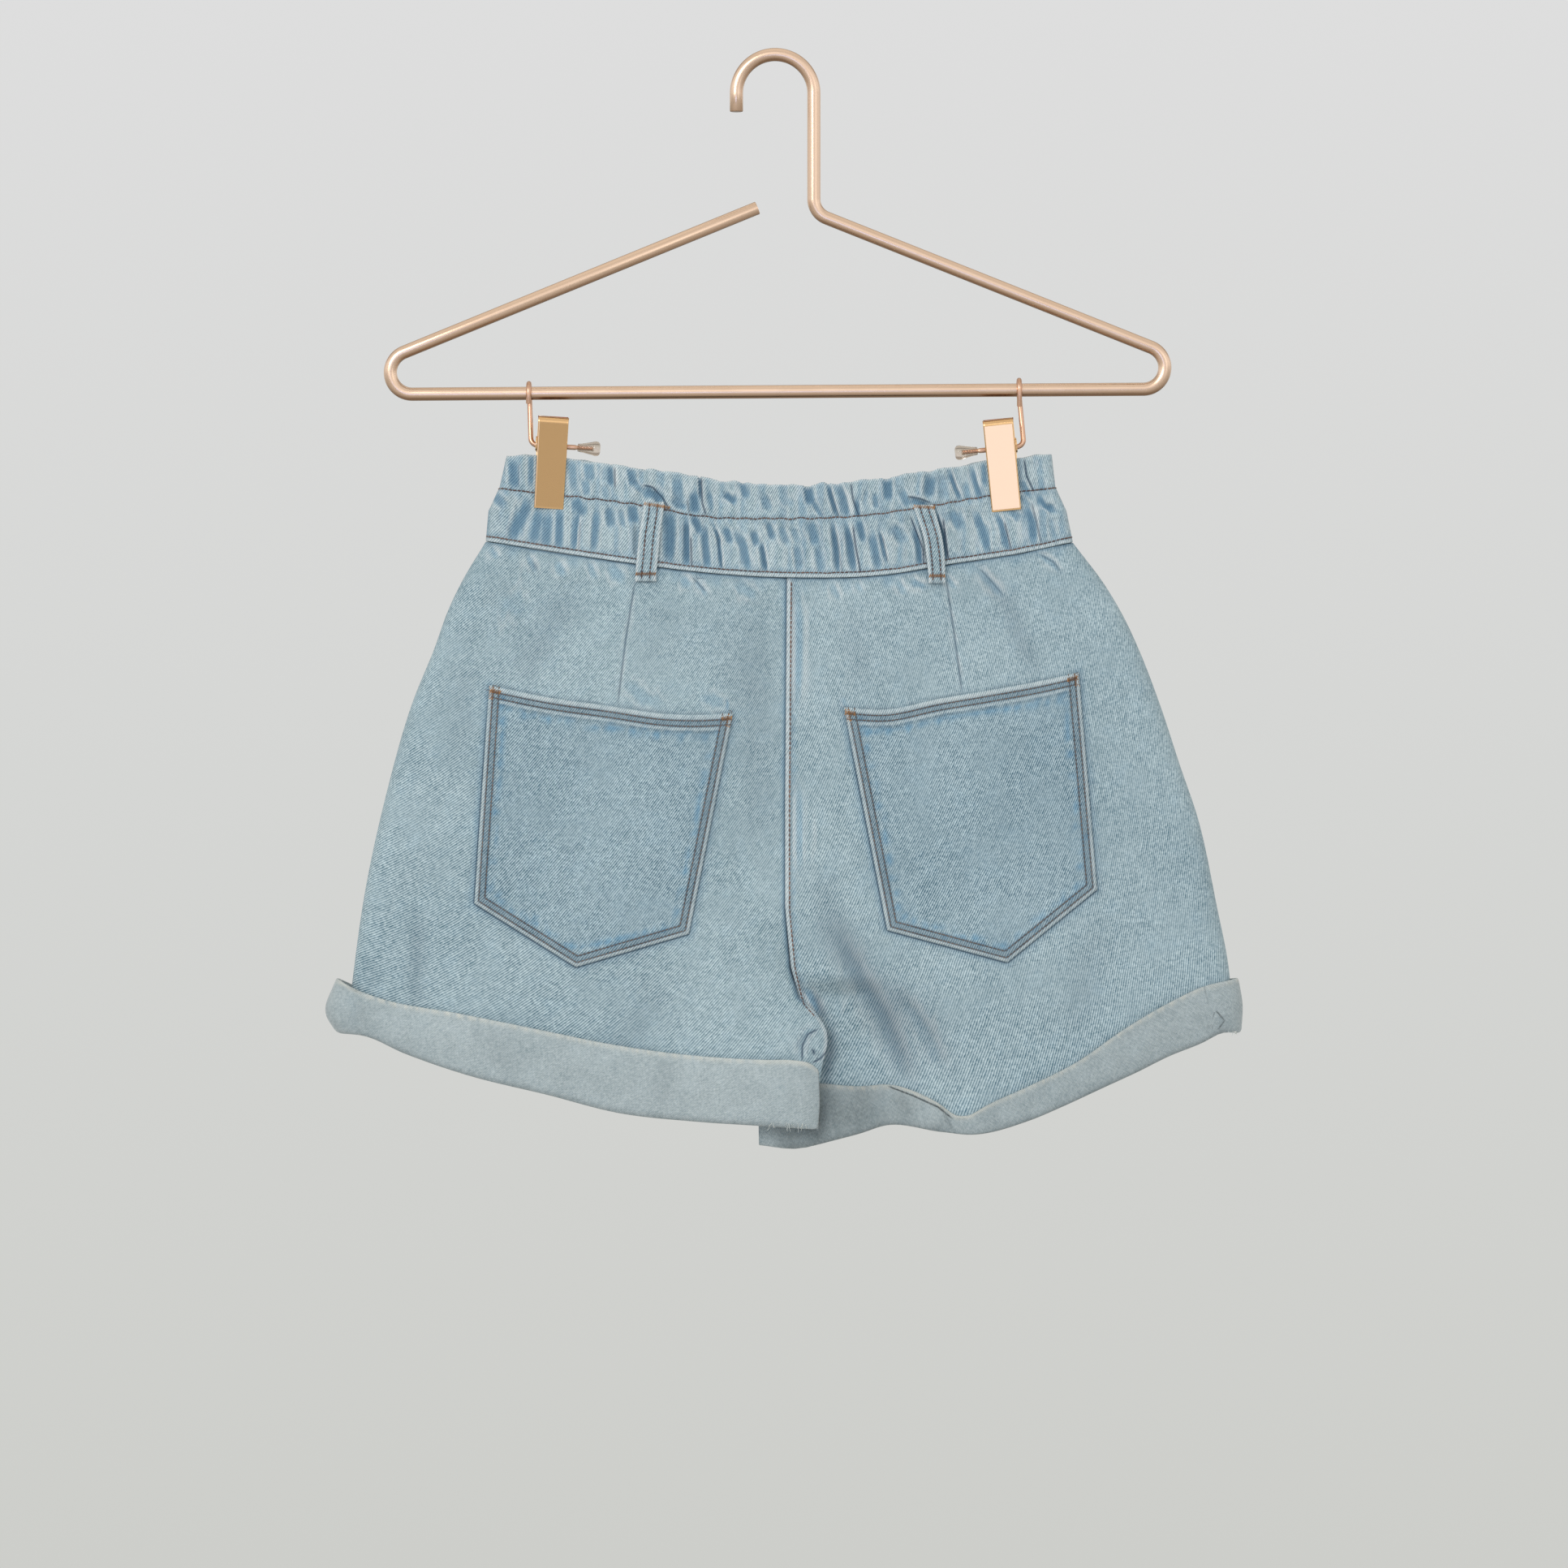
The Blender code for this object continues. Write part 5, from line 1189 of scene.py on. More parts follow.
def makeCuff(side, face):
    leg = legs[side]
    u = cuffColumns()
    full = cloth["cuffThick"] + cloth["cuffClear"]
    low, sheet = cloth["cuffClear"], cuff["sheet"]
    rows = []  # share down, lift, how far out of the panel, then the same for the hidden side
    for down in np.concatenate([[0, 0.012, 0.026], np.linspace(0.045, 0.93, 26)]):
        swell = np.interp(down, [0, 0.03, 0.1, 0.5, 0.9], [-0.6, -0.1, 0.05, 0.15, -0.15])
        rows.append((down, 0, full + swell, down, 0, full + swell - sheet))
    rows += [(0.97, 0, full - 0.6, 0.95, 0, full - 1.5), (0.99, 0, full - 1.2, 0.96, 0, full - 1.7),
             (1, 0, full - 2.0, 0.96, 0, full - 1.8), (1, 0.1, 0.6, 0.96, 0, full - 1.9),
             (1, 1.0, 0.0, 0.95, 0, full - 1.95)]
    rows += [(0.93, 0.6, low, 0.93, 0, low + sheet)]
    rows += [(down, 0, low + 0.3 * (1 - down), down, 0, low + sheet) for down in np.linspace(0.86, 0, 10)]
    ends = np.array(leg["cuffEnds"])
    grids = []
    for pick in (0, 3):
        grid = []
        for row in rows:
            down, lift, out = row[pick:pick + 3]
            sideX = through(ends[:, 0], ends[:, 1], down) + leg["inward"] * (full - out)
            inseamX = through(ends[:, 0], ends[:, 2], down) * np.ones_like(u)
            outs = np.full_like(u, out)
            shifted = inseamX - leg["inward"] * (full - out)
            if face == leg["parted"]:
                inseamX = np.where(u == 1, inseamX, shifted)
                outs = np.where((u == 1) & (out < full / 2), min(out, -cloth["layer"]), outs)
            else:
                inseamX = shifted
            across = blend(sideX, inseamX, u)
            height = blend(heightAt(leg["cuffTop"], across), heightAt(leg["cuffLow"], across), down) + lift
            depth = legDepth(leg, face, across, height, u * np.abs(inseamX - sideX), outs)
            grid.append(np.stack([across, face * depth, height], -1))
        grids.append(np.array(grid))
    across, height = grids[0][:, :, 0], grids[0][:, :, 2]
    flat = rolledOut(grids[0])
    strokes = strokesOf(cuff["creases"][side])
    if face == front:
        strokes = [([(x - 9, z) for x, z in path], *looks) for path, *looks in strokes[1:5]]
    dip, blue, _ = crease(across, height, strokes)
    dip += ripple(across, height * 0.5, 71 + face + len(side), 34, 0.3) + ripple(
        across, height, 73 + face, 13, 0.12)
    outside = np.array([row[2] > 2.0 for row in rows])[:, None] * rise(u, 0.01, 0.06) * rise(
        1 - u, 0.01, 0.06)
    grids[0][:, :, 1] -= face * dip * outside
    fromTop = heightAt(leg["cuffTop"], across) - height
    fromLow = height - heightAt(leg["cuffLow"], across)
    wave = ripple(across, height, 75 + face, 4.5, 1.0)
    wear = bell(fromTop, 0.9, 1.5) * (0.5 + 0.3 * wave)
    # painted shade: darker towards the lower fold and further down, a little darker over the whole right
    # cuff, and the hidden rows evenly a little dark
    dark = 0.2 * (1 - rise(fromLow, 0, 5)) + 0.05 * rise(fromTop, 8, 22) + (0.13 if side == "right" else 0)
    if face == back:
        dark = 1 - (1 - dark) * (1 - shade(across, height, cuff["shades"][side]))
        near, away, _, _ = nearPath(across, height, cuff["rim"][side], 3)
        wear[near] = np.maximum(wear[near], 0.95 * bell(away, 0, 0.6))
    dark = np.clip(dark, 0, 1) * outside + 0.1 * (1 - outside)
    marks = {"blue": blue * 0.5, "wear": np.clip(wear, 0, 0.95), "dark": dark}
    if face == back:
        marks["fold"], foldShare = foldLines(across, height, cuff["folds"][side])
        marks["foldShare"] = foldShare * outside
    twill = (40 if side == "left" else 62, 0, -leg["inward"] * 100, -545)
    word = faceWords[face]
    name = f"cuff{side.capitalize()}{word.capitalize()}"
    piece = clothWall(name, *grids, (wrongSide,), twill, -leg["inward"] * face, flat, marks)
    declare(piece, [f"cuff_{side}_{word}"])
    return piece


cuffs = {(side, face): makeCuff(side, face) for side in legs for face in (back, front)}
print("cuffs made")

# node trees: rows of stitches, and round wire or thread


def newTree(name, sockets):
    tree = bpy.data.node_groups.new(name, "GeometryNodeTree")
    tree.interface.new_socket("Geometry", in_out="INPUT", socket_type="NodeSocketGeometry")
    tree.interface.new_socket("Geometry", in_out="OUTPUT", socket_type="NodeSocketGeometry")
    for label, kind in sockets.items():
        tree.interface.new_socket(label, in_out="INPUT", socket_type="NodeSocket" + kind)
    return tree, tree.nodes.new("NodeGroupInput").outputs


def closeTree(tree, geometry, material):
    realised = put(tree, "GeometryNodeRealizeInstances", {0: geometry}).outputs[0]
    smooth = put(tree, "GeometryNodeSetShadeSmooth", {0: realised}).outputs[0]
    last = put(tree, "GeometryNodeSetMaterial", {0: smooth, "Material": material}).outputs[0]
    tree.links.new(last, tree.nodes.new("NodeGroupOutput").inputs[0])
    return tree


def stitchTree():
    tree, given = newTree("stitchRow", {
        "Pitch": "Float", "Length": "Float", "Width": "Float", "Height": "Float",
        "Turn": "Float", "Seed": "Int", "Thread": "Material"})
    line = put(tree, "GeometryNodeMeshToCurve", {0: given["Geometry"]}).outputs[0]
    spots = put(tree, "GeometryNodeCurveToPoints", {0: line, 2: given["Pitch"]}, mode="LENGTH")
    up = put(tree, "GeometryNodeInputNamedAttribute", {0: "up"}, data_type="FLOAT_VECTOR").outputs[0]
    lengthwise = put(tree, "FunctionNodeAlignRotationToVector", {2: spots.outputs["Tangent"]},
                     axis="X").outputs[0]
    upright = put(tree, "FunctionNodeAlignRotationToVector", {0: lengthwise, 2: up}, axis="Z",
                  pivot_axis="X").outputs[0]
    bead = put(tree, "GeometryNodeMeshUVSphere", {0: 7, 1: 5, 2: 0.5}).outputs[0]
    # the sphere's poles go to the stitch's two ends
    bead = put(tree, "GeometryNodeTransform", {0: bead, 2: (0, math.pi / 2, 0)}).outputs[0]
    size = put(tree, "ShaderNodeCombineXYZ",
               {0: given["Length"], 1: given["Width"], 2: given["Height"]}).outputs[0]
    limits = {0: (0.88, 0.85, 0.85), 1: (1.1, 1.15, 1.1), 8: given["Seed"]}
    uneven = put(tree, "FunctionNodeRandomValue", limits, data_type="FLOAT_VECTOR").outputs[0]
    size = put(tree, "ShaderNodeVectorMath", {0: size, 1: uneven}, operation="MULTIPLY").outputs[0]
    stitches = put(tree, "GeometryNodeInstanceOnPoints",
                   {0: spots.outputs[0], 2: bead, 5: upright, 6: size}).outputs[0]
    skew = put(tree, "FunctionNodeRandomValue", {2: -0.1, 3: 0.1, 8: given["Seed"]},
               data_type="FLOAT").outputs[1]
    swing = put(tree, "ShaderNodeCombineXYZ", {2: calc(tree, "ADD", skew, given["Turn"])}).outputs[0]
    stitches = put(tree, "GeometryNodeRotateInstances", {0: stitches, 2: swing}).outputs[0]
    return closeTree(tree, stitches, given["Thread"])


def tubeTree():
    tree, given = newTree("roundWire", {"Radius": "Float", "Sides": "Int", "Finish": "Material"})
    line = put(tree, "GeometryNodeMeshToCurve", {0: given["Geometry"]}).outputs[0]
    ring = put(tree, "GeometryNodeCurvePrimitiveCircle", {0: given["Sides"], 4: given["Radius"]}).outputs[0]
    thick = put(tree, "GeometryNodeInputNamedAttribute", {0: "thick"}, data_type="FLOAT").outputs[0]
    tube = put(tree, "GeometryNodeCurveToMesh", {0: line, 1: ring, 2: thick, 3: True}).outputs[0]
    return closeTree(tree, tube, given["Finish"])


trees = {"stitch": stitchTree(), "tube": tubeTree()}


def followed(name, kind, paths, settings):
    # paths: lists of (point, up, thickness) in metres; the tree's result comes back as a plain mesh
    points, ups, thick, edges = [], [], [], []
    for path in paths:
        edges += [(len(points) + k, len(points) + k + 1) for k in range(len(path) - 1)]
        for point, up, share in path:
            points.append(tuple(point))
            ups.append(tuple(up))
            thick.append(share)
    mesh = bpy.data.meshes.new(name)
    mesh.from_pydata(points, edges, [])
    mesh.attributes.new("up", "FLOAT_VECTOR", "POINT").data.foreach_set(
        "vector", np.array(ups, np.float32).ravel())
    mesh.attributes.new("thick", "FLOAT", "POINT").data.foreach_set("value", np.array(thick, np.float32))
    made = bpy.data.objects.new(name, mesh)
    bpy.context.collection.objects.link(made)
    modifier = made.modifiers.new(kind, "NODES")
    modifier.node_group = trees[kind]
    sockets = {item.name: item.identifier for item in trees[kind].interface.items_tree
               if item.in_out == "INPUT"}
    for label, value in settings.items():
        modifier[sockets[label]] = value
    graph = bpy.context.evaluated_depsgraph_get()
    result = bpy.data.meshes.new_from_object(made.evaluated_get(graph))
    made.modifiers.clear()
    made.data = result
    result.name = name
    bpy.data.meshes.remove(mesh)
    return made


# stitching, laid on the cloth that it holds


def groundOf(pieces):
    points, faces = [], []
    for piece in pieces:
        start = len(points)
        points += [v.co.copy() for v in piece.data.vertices]
        faces += [[start + i for i in p.vertices] for p in piece.data.polygons]
    return BVHTree.FromPolygons(points, faces)


def layOn(ground, face, path, lift=0.0, step=1.0):
    # the path's points, a step apart, dropped on the cloth from outside
    path = np.array(path, float)
    lengths = runLengths(path)
    count = max(2, round(lengths[-1] / step) + 1)
    at = np.linspace(0, lengths[-1], count)
    laid = []
    for x, z in zip(np.interp(at, lengths, path[:, 0]), np.interp(at, lengths, path[:, 1])):
        point, normal, _, _ = ground.ray_cast(Vector((x * mm, face * 0.08, z * mm)), Vector((0, -face, 0)))
        if point is None:
            continue
        normal = normal if normal.y * face > 0 else -normal
        normal = (normal + Vector((0, face * 1.5, 0))).normalized()
        laid.append((point + normal * lift * mm, normal, 1.0))
    return laid


stitch = {"Pitch": 2.4 * mm, "Length": 2.3 * mm, "Width": 0.85 * mm, "Height": 0.55 * mm, "Turn": 0.0,
          "Seed": 7}
threads = {
    "brown": (brownThread, {}),
    "grey": (greyThread, {"Pitch": 2.2 * mm, "Length": 2.05 * mm, "Width": 0.7 * mm}),
    "russet": (russetThread, {"Pitch": 2.6 * mm, "Length": 2.5 * mm, "Width": 0.8 * mm}),
}
bodyGround = groundOf(list(panels.values()) + list(bands.values()))
pocketGround = groundOf(list(pocketPieces.values()))
loopGround = groundOf(list(loopPieces.values()) + list(bands.values()) + list(panels.values()))


def bandRow(face, rows, lift):
    left, right = (-156, 160.5) if rows is waistSeam else (-150.5, 153)
    across = np.linspace(left, right, 160)
    heights = casingRow(across) if rows is casingStitch else heightAt(rows, across) + ripple(
        across, 0, 93, 12, 0.12)
    return [(x, z + lift) for x, z in zip(across, heights)]


def insetPath(points, inset):
    # the sewn edges of a pocket, moved in by that much
    points = np.array(points, float)
    run = np.diff(points, axis=0)
    run /= np.linalg.norm(run, axis=1)[:, None]
    inward = np.stack([-run[:, 1], run[:, 0]], -1)
    starts = points[:-1] + inward * inset
    made = [starts[0]]
    for k in range(1, len(run)):
        a, b = starts[k - 1], starts[k]
        turn = run[k - 1][0] * run[k][1] - run[k - 1][1] * run[k][0]
        gone = ((b[0] - a[0]) * run[k][1] - (b[1] - a[1]) * run[k][0]) / turn
        made.append(a + run[k - 1] * gone)
    made.append(points[-1] + inward[-1] * inset)
    return made


def makeStitching():
    rows = {kind: [] for kind in threads}
    for face in (back, front):
        rows["brown"].append(layOn(bodyGround, face, bandRow(face, waistSeam, band["welt"]), 0.06))
        rows["brown"].append(layOn(bodyGround, face, bandRow(face, casingStitch, 0), 0.06))
        seat = np.array(seatSeam[:-1] + [(12, -507)], float)
        heights = np.linspace(-284, -507, 70)
        line = [(np.interp(-z, -seat[:, 1], seat[:, 0]) + 2.3, z) for z in heights]
        line += [(15.5, -511.5), (20.5, -516.8)] if face == back else []
        rows["russet"].append(layOn(bodyGround, face, line, 0.05))
    for pocket in (pockets["left"], pockets["right"]):
        edges = pocketEdges(pocket)
        for inset in pockets["stitchRows"]:
            path = insetPath(edges, inset)
            for end, beside in ((0, 1), (-1, -2)):
                run = path[beside] - path[end]
                path[end] = path[end] + run * 1.2 / np.linalg.norm(run)
            rows["grey"].append(layOn(pocketGround, back, path, 0.05))
        for down in pockets["mouthRows"]:
            across = np.linspace(edges[0][0] + 2.2, edges[-1][0] - 2.2, 60)
            path = list(zip(across, heightAt(pocket["mouth"], across) - down))
            rows["grey"].append(layOn(pocketGround, back, path, 0.05))
    for face, table in loops.values():
        heights = np.linspace(table[0][2] - 2.0, table[-1][2] + 2.6, 24)
        middle = loopAcross(table, heights, 0.5)
        for side in (-0.5, 0.5):
            path = list(zip(middle + side * loopShape["rowsApart"], heights))
            rows["brown"].append(layOn(loopGround, face, path, 0.05))
    for kind, paths in rows.items():
        thread, changes = threads[kind]
        settings = {**stitch, **changes, "Thread": thread}
        piece = followed(f"{kind}Stitches", "stitch", [p for p in paths if len(p) > 1], settings)
        declare(piece, [])


def tackPath(face, ground, start, end, reach, pitch=0.42):
    # a dense zigzag of thread from start to end, reach to either side
    start, end = np.array(start, float), np.array(end, float)
    run = end - start
    length = np.linalg.norm(run)
    cross = np.array([-run[1], run[0]]) / length * reach
    count = max(4, round(length / pitch))
    picked = np.random.default_rng(round(abs(start[0]) * 10))
    path = []
    for k in range(count + 1):
        side = 1 if k % 2 else -1
        x, z = start + run * k / count + cross * side * picked.uniform(0.85, 1.1)
        path += layOn(ground, face, [(x, z), (x, z + 0.01)], 0.12, 1.0)[:1]
    return path


def makeTacks():
    paths = []
    for name, (face, table) in loops.items():
        topLeft, topRight, top = table[0][:3]
        lowLeft, lowRight, low = table[-1][:3]
        drop, reach = (2.2, 3.0) if name == "backLeft" else (0.6, 0.8)
        start, end = (topLeft + 0.4, top - 1.0), (topRight + reach, top - 1.0 - drop)
        paths.append(tackPath(face, loopGround, start, end, 0.8))
        paths.append(tackPath(face, loopGround, (lowLeft + 0.5, low + 4.0), (lowRight - 0.5, low + 4.0), 0.8))
    for pocket in (pockets["left"], pockets["right"]):
        edges, mouth = pocketEdges(pocket), pocket["mouth"]
        for corner, toward, way in ((edges[0], edges[1], 1), (edges[-1], edges[-2], -1)):
            down = unit(np.array(toward, float) - corner)
            start = np.array(corner, float) + (way * 0.9, -3.0)
            climb = heightAt(mouth, corner[0] + way * 6) - heightAt(mouth, corner[0])
            paths.append(tackPath(back, pocketGround, start, start + (way * 5.2, climb), 1.15))
            start = np.array(corner, float) + down * 1.2 + (way * 1.6, 0)
            paths.append(tackPath(back, pocketGround, start, start + down * 6.5, 1.15))
    settings = {"Radius": 0.36 * mm, "Sides": 6, "Finish": rustThread}
    piece = followed("barTacks", "tube", [p for p in paths if len(p) > 2], settings)
    declare(piece, [])


def looseEnd(start, way, length, seed, out=-1):
    # a free thread end that curls as it leaves the cloth
    picked = np.random.default_rng(seed)
    point, heading = np.array(start, float), np.array((way[0], 0, way[1]), float)
    heading = unit(heading)
    path = []
    for k in range(9):
        path.append((Vector(point * mm), outOfBack, 1.0 - 0.05 * k))
        heading += picked.normal(0, 0.28, 3) + np.array([0, out * 0.05, -0.12])
        heading = unit(heading)
        point = point + heading * length / 8
    return path


def surfaceAt(face, piece, x, z):
    point = layOn(groundOf([piece]), face, [(x, z), (x, z + 0.01)], 0.1)
    return tuple(point[0][0] / mm) if point else (x, face * 8, z)


looseThreads = [  # pocket, across, height, the way it points
    ("left", -152.5, -337.5, (0.5, 1)), ("left", -153, -340, (-1, 0.4)), ("left", -24, -352.5, (0.4, 1)),
    ("right", 38.5, -350, (-0.3, 1)), ("right", 162.5, -331, (0.2, 1)), ("right", 161, -333, (-1, 0.6)),
]


def makeThreadEnds():
    ends = []
    for side, x, z, way in looseThreads:
        ends.append(looseEnd(surfaceAt(back, pocketPieces[side], x, z - 1.5), way, 4.2, abs(int(x)) + 3))
    piece = followed("threadEnds", "tube", ends, {"Radius": 0.16 * mm, "Sides": 5, "Finish": brownThread})
    declare(piece, [])
    frays = []
    picked = np.random.default_rng(5)
    for k in range(14):
        x = picked.uniform(-2, 19)
        start = surfaceAt(back, cuffs["left", back], x, -575.5 + picked.uniform(-0.5, 0.5))
        frays.append(looseEnd(start, (picked.uniform(-0.5, 0.5), -1), picked.uniform(2.5, 5.5), 100 + k, 0.2))
    for k in range(9):
        start = surfaceAt(back, cuffs["right", back], 243 + picked.uniform(0, 8), -525.5)
        frays.append(looseEnd(start, (picked.uniform(-0.6, 0.6), -1), picked.uniform(1.5, 3.5), 200 + k, 0.2))
    piece = followed("frayedEnds", "tube", frays, {"Radius": 0.15 * mm, "Sides": 5, "Finish": paleThread})
    declare(piece, [])


makeStitching()
makeTacks()
makeThreadEnds()
print("stitching made")

# hanger and clip wires

hanger = {
    "radius": 3.6,
    "hookRadius": 21.0,
    "tipDrop": 10.0,
    "neckFoot": -82.3,
    "neckRound": 11.0,
    "cornerRound": 11.8,
    "rightCorner": (260.0, -177.5),
    "leftCorner": (-258.0, -181.0),
    "openEnd": (-9.5, -79.5),
    "sides": 28,
}
clipShape = {
    "plate": 1.0, "top": 15.8, "bottom": -34.1, "topHalf": 8.2, "bottomHalf": 8.0, "topOut": 8.6,
    "bottomOut": 4.5,
    "ear": 0.8, "earRadius": 4.0, "earHole": 1.75, "frontEar": 6.8, "backEar": 8.0, "pin": 1.4, "loop": 5.3,
    "springRadius": 2.35, "springWire": 0.6, "springLength": 10.4, "springTurns": 8, "round": 4.0,
    "tipLength": 12.3, "tipBore": 9.0,
}


def turn(corner, before, after, radius, step=4):
    # a rounded corner, with a point every few degrees
    corner, before, after = (np.array(p, float) for p in (corner, before, after))
    first, last = unit(before - corner), unit(after - corner)
    half = math.acos(np.clip(first @ last, -1, 1)) / 2
    middle = corner + unit(first + last) * radius / math.sin(half)
    start, end = (corner + way * radius / math.tan(half) - middle for way in (first, last))
    swing = math.pi - 2 * half
    steps = max(4, math.ceil(math.degrees(swing) / step))
    made = []
    for k in range(steps + 1):
        reach = math.sin((1 - k / steps) * swing) * start + math.sin(k / steps * swing) * end
        made.append(middle + reach / math.sin(swing))
    return made


def wirePath(points, softEnds=0.35, thick=None):
    # both ends are cut square and their rims broken a little
    points = [np.array(p, float) for p in points]
    first = points[0] + unit(points[1] - points[0]) * softEnds
    last = points[-1] + unit(points[-2] - points[-1]) * softEnds
    spots = [points[0], first, *points[1:-1], last, points[-1]]
    shares = [0.88, 1.0] + [1.0] * (len(points) - 2) + [1.0, 0.88]
    if thick is not None:
        shares = thick(spots, shares)
    return [(Vector(p * mm), outOfBack, s) for p, s in zip(spots, shares)]


def makeHanger():
    radius, middle = hanger["hookRadius"], hanger["radius"] - hanger["hookRadius"]
    points = [(-radius, 0, middle - hanger["tipDrop"])]
    points += [(radius * math.cos(a), 0, middle + radius * math.sin(a)) for a in np.linspace(math.pi, 0, 46)]
    neck = (radius, 0, hanger["neckFoot"])
    right, left, end = ((c[0], 0, c[1]) for c in (
        hanger["rightCorner"], hanger["leftCorner"], hanger["openEnd"]))
    points += turn(neck, points[-1], right, hanger["neckRound"])
    points += turn(right, neck, left, hanger["cornerRound"])
    points += turn(left, right, end, hanger["cornerRound"])
    points.append(end)
    settings = {"Radius": hanger["radius"] * mm, "Sides": hanger["sides"], "Finish": satinGold}
    piece = followed("hangerWire", "tube", [wirePath(points)], settings)
    declare(piece, ["hanger_wire"])


def inClip(clip, points, yaw=0.0):
    # the clip's own frame turned and moved to its place; yaw turns a plate about the upright
    points = np.array(points, float)
    swing = math.radians(yaw)
    x = points[:, 0] * math.cos(swing)
    y = points[:, 1] + points[:, 0] * math.sin(swing)
    tilt = math.radians(clip["tilt"])
    return np.stack([x * math.cos(tilt) + points[:, 2] * math.sin(tilt) + clip["across"], y,
                     points[:, 2] * math.cos(tilt) - x * math.sin(tilt) + clip["height"]], -1)


def makePlate(name, face, word):
    clip, shape = clips[name], clipShape
    lean = (shape["topOut"] - shape["bottomOut"]) / (shape["top"] - shape["bottom"])
    profile = []  # height, outer depth, inner depth, height of the inner face
    for z in (0, 0.25, 0.8, 1.3, 4, 12, 22, 32, 40, 45.8, 46.4):
        height = shape["bottom"] + z
        out = shape["bottomOut"] + lean * z - (0.3 if z == 0 else 0.08 if z == 0.25 else 0)
        profile.append((height, out, shape["bottomOut"] + lean * z - shape["plate"] + (0.2 if z == 0 else 0),
                        height))
    for angle in range(12, 97, 12):  # the rolled top edge
        swing = math.radians(angle)
        rises, goesOut = math.sin(swing), math.cos(swing)
        height, out = shape["bottom"] + 46.6, shape["bottomOut"] + lean * 46.6 - 3.0
        profile.append((height + 3.0 * rises, out + 3.0 * goesOut, out + 2.0 * goesOut, height + 2.0 * rises))
    sides = np.array([-1, -0.985, -0.95, -0.92, -0.89, -0.5, 0, 0.5, 0.89, 0.92, 0.95, 0.985, 1])
    dull = np.array([0.4, 0.15, 0.03, 0, 0, 0, 0, 0, 0, 0, 0.03, 0.15, 0.4])
    outer, inner = [], []
    for height, out, inside, innerHeight in profile:
        half = np.interp(height, [shape["bottom"], shape["top"]], [shape["bottomHalf"], shape["topHalf"]])
        outer.append(np.stack([sides * half, face * (out - dull), np.full(13, height)], -1))
        inner.append(np.stack([sides * half, face * (inside + 0.5 * dull), np.full(13, innerHeight)], -1))
    outer, inner = np.array(outer), np.array(inner)
    faces = wallFaces(*outer.shape[:2])
    if face > 0:
        faces = faces[:, ::-1]
    points = list(outer.reshape(-1, 3)) + list(inner.reshape(-1, 3))
    faces = faces.tolist()
    root = blend(shape["topOut"], shape["bottomOut"], shape["top"] / (shape["top"] - shape["bottom"])) - 0.5
    steps = 28
    for side in (-1, 1):  # the two ears that hold the pin
        across = side * (shape["frontEar"] if face == back else shape["backEar"])
        start = len(points)
        for half in (-shape["ear"] / 2, shape["ear"] / 2):
            for k in range(steps):
                swing = 2 * math.pi * k / steps
                y, z = math.cos(swing), math.sin(swing)
                rim = ((shape["earRadius"] - 0.6) * y, shape["earRadius"] * z) if y < 0 else (
                    root * min(1, y * 1.8), shape["earRadius"] * max(-1, min(1, z * 1.6)))
                points.append((across + half, face * shape["earHole"] * y, shape["earHole"] * z))
                points.append((across + half, face * rim[0], rim[1]))
        for k in range(steps):
            n = (k + 1) % steps
            a, b, c, d = (start + i for i in (2 * k, 2 * k + 1, 2 * n + 1, 2 * n))
            far = 2 * steps
            ear = [(a, b, c, d), (a + far, d + far, c + far, b + far), (a, d, d + far, a + far),
                   (b, b + far, c + far, c)]
            faces += [f if face > 0 else f[::-1] for f in ear]
    yaw = clip["yaw"] if face == back else 0
    if face == front:
        points = np.array(points) + (-0.9 * clip["tipWay"], 0, 1.0)
    piece = plainMesh(f"clip{name.capitalize()}{word.capitalize()}Plate", inClip(clip, points, yaw), faces,
                      (plateGold,))
    piece.data.set_sharp_from_angle(angle=math.radians(38))
    declare(piece, [f"clip_{name}_{word}_plate"])


def barHeight(across):
    left, right = hanger["leftCorner"], hanger["rightCorner"]
    return blend(left[1], right[1], (across - left[0]) / (right[0] - left[0]))


